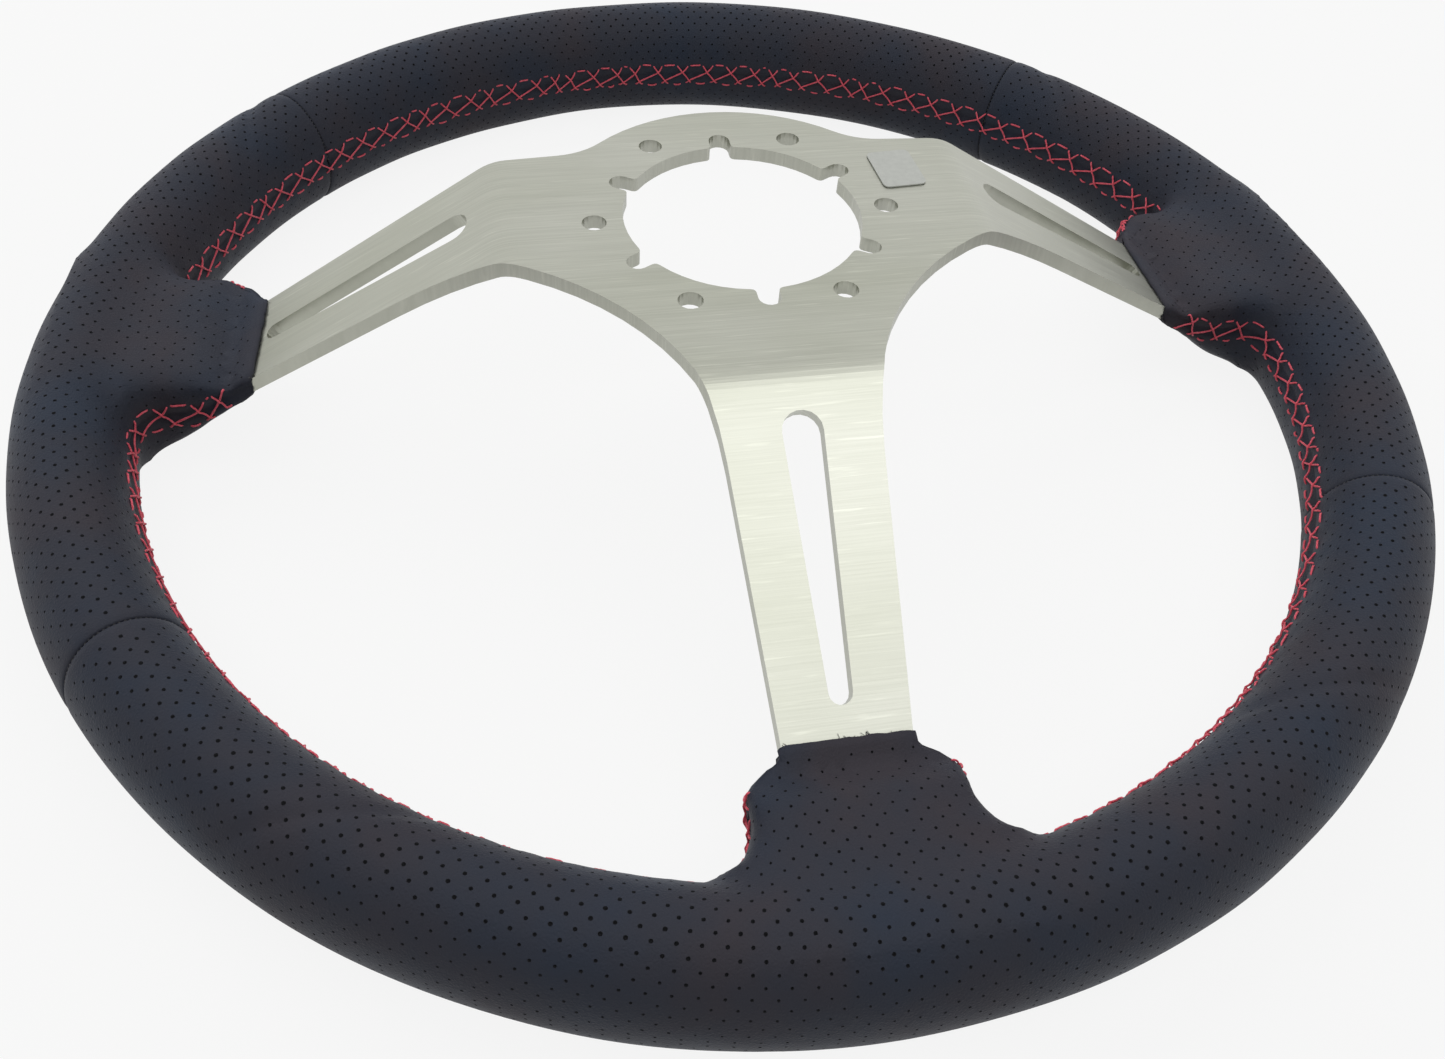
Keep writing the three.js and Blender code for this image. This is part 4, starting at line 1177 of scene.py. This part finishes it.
# Frayed fibres: where the leather was cut through at a lip, loose fibres of its flesh side
# stand out over the metal, singly along the edge and in a few tufts.
FIBRE_RADIUS = 0.05
FIBRE_LENGTHS = (0.5, 1.5)
FIBRE_STEPS = 6
FIBRE_TURN = 0.6
FIBRE_CURL = 0.5
FIBRE_ROOT = 0.25
FIBRE_LOWEST = 0.12
FIBRE_START = 0.45
FIBRE_RISE = 0.5
LIP_CORNER = 1.5
TUFT_SPREAD = 0.45
TUFTS = {"bottom": [(4.0, 11), (-1.5, 2)], "left": [(-13.5, 9), (12.5, 2)], "right": [(-12.0, 4)]}
LOOSE_FIBRES = {"bottom": 14, "left": 9, "right": 7}
fraying = np.random.default_rng(5)


def lip_fibres(name):
    """Paths of the fibres at one lip, each rooted a little under the cut edge."""
    root = BOSSES[name]
    half = half_width(root, 1, root.lip) - LIP_CORNER
    places = [fraying.uniform(-half, half) for _ in range(LOOSE_FIBRES[name])]
    for place, count in TUFTS[name]:
        places += list(place + fraying.normal(0, TUFT_SPREAD, count))
    share = np.linspace(0, 1, FIBRE_STEPS)
    paths = []
    for place in np.clip(places, -half, half):
        length = fraying.uniform(*FIBRE_LENGTHS)
        turn = fraying.normal(0, FIBRE_TURN) + fraying.normal(0, FIBRE_CURL) * share
        edge = root.lip - root.cut[0] - root.cut[1] * place + FIBRE_ROOT
        reach = edge - length * share * np.cos(turn)
        lateral = place + length * share * np.sin(turn)
        height = spoke_face(root, reach, 1) + FIBRE_LOWEST + FIBRE_START * (1 - share)
        height = height + fraying.uniform(0, FIBRE_RISE) * share ** 2
        paths.append(from_boss(root, reach, lateral, height))
    return paths


fibre_finish = thread_finish("leather_fibre", "141417", "1f1f23", "2d2d32")
upright = np.tile([0.0, 0.0, 1.0], (FIBRE_STEPS, 1))
for spoke in SPOKES:
    paths = lip_fibres(spoke)
    mesh = tubes(f"lip_fibres_{spoke}", paths, FIBRE_RADIUS, [upright] * len(paths))
    add_piece(f"lip_fibres_{spoke}", mesh, fibre_finish, "leather")

# Floor and light: a pale studio table under two broad soft lights, one overhead and one beyond
# the wheel, in an even pale surround. The floor shows white to the camera and keeps the
# wheel's shadow.
FLOOR_REACH = 6.0
FLOOR_GAP = 0.0005
SHADOW_FADE = 0.88


def seen_directly(tree):
    """1 for what the camera sees straight, in a reflection or through glass, otherwise 0."""
    rays = node(tree, "ShaderNodeLightPath")
    seen = rays.outputs["Is Camera Ray"]
    for kind in ("Is Glossy Ray", "Is Transmission Ray"):
        either = node(tree, "ShaderNodeMath", operation="MAXIMUM")
        tree.links.new(seen, either.inputs[0])
        tree.links.new(rays.outputs[kind], either.inputs[1])
        seen = either.outputs[0]
    return seen


def surface_mix(tree, share, first, second, output):
    """Shows two shaders mixed by a share."""
    mix = node(tree, "ShaderNodeMixShader")
    for number, source in enumerate((share, first.outputs[0], second.outputs[0])):
        tree.links.new(source, mix.inputs[number])
    tree.links.new(mix.outputs[0], tree.nodes[output].inputs["Surface"])


def pale_floor():
    finish, tree, shader = new_finish("pale_floor", 0.9)
    shader.inputs["Base Color"].default_value = srgb("c8c8c6")
    share = node(tree, "ShaderNodeMath", operation="MULTIPLY")
    share.inputs[1].default_value = SHADOW_FADE
    tree.links.new(seen_directly(tree), share.inputs[0])
    white = node(tree, "ShaderNodeEmission", Strength=1.0)
    surface_mix(tree, share.outputs[0], shader, white, "Material Output")
    return finish


floor_mesh = bpy.data.meshes.new("floor")
corners = [(x * FLOOR_REACH, y * FLOOR_REACH, 0) for x, y in ((-1, -1), (1, -1), (1, 1), (-1, 1))]
floor_mesh.from_pydata(corners, [], [(0, 1, 2, 3)])
floor_mesh.materials.append(pale_floor())
floor = bpy.data.objects.new("floor", floor_mesh)
floor.location.z = cad_low[2] - FLOOR_GAP
bpy.context.scene.collection.objects.link(floor)

world = bpy.data.worlds.new("surround")
bpy.context.scene.world = world
world.use_nodes = True
light_tree = world.node_tree
lighting = light_tree.nodes["Background"]
lighting.inputs["Color"].default_value = srgb("f4f5f7")
lighting.inputs["Strength"].default_value = 0.26
backdrop = node(light_tree, "ShaderNodeBackground", Strength=1.0)
backdrop.inputs["Color"].default_value = srgb("ffffff")
surface_mix(light_tree, seen_directly(light_tree), lighting, backdrop, "World Output")


def soft_light(name, place, target, size, power):
    data = bpy.data.lights.new(name, "AREA")
    data.shape = "RECTANGLE"
    data.size, data.size_y = size
    data.energy = power
    light = bpy.data.objects.new(name, data)
    bpy.context.scene.collection.objects.link(light)
    light.location = place
    aim = Matrix.Translation(target).translation - light.location
    light.rotation_euler = aim.to_track_quat("-Z", "Y").to_euler()
    return light


soft_light("overhead", (0.25, -0.55, 2.0), target=(0, -0.02, 0), size=(2.4, 1.6), power=14.5)
far_side = soft_light("far_side", (-0.5, 1.5, 1.7), target=(0, 0, 0), size=(3.5, 2.0), power=36)
far_side.visible_glossy = False

bpy.context.scene.view_settings.view_transform = "Standard"
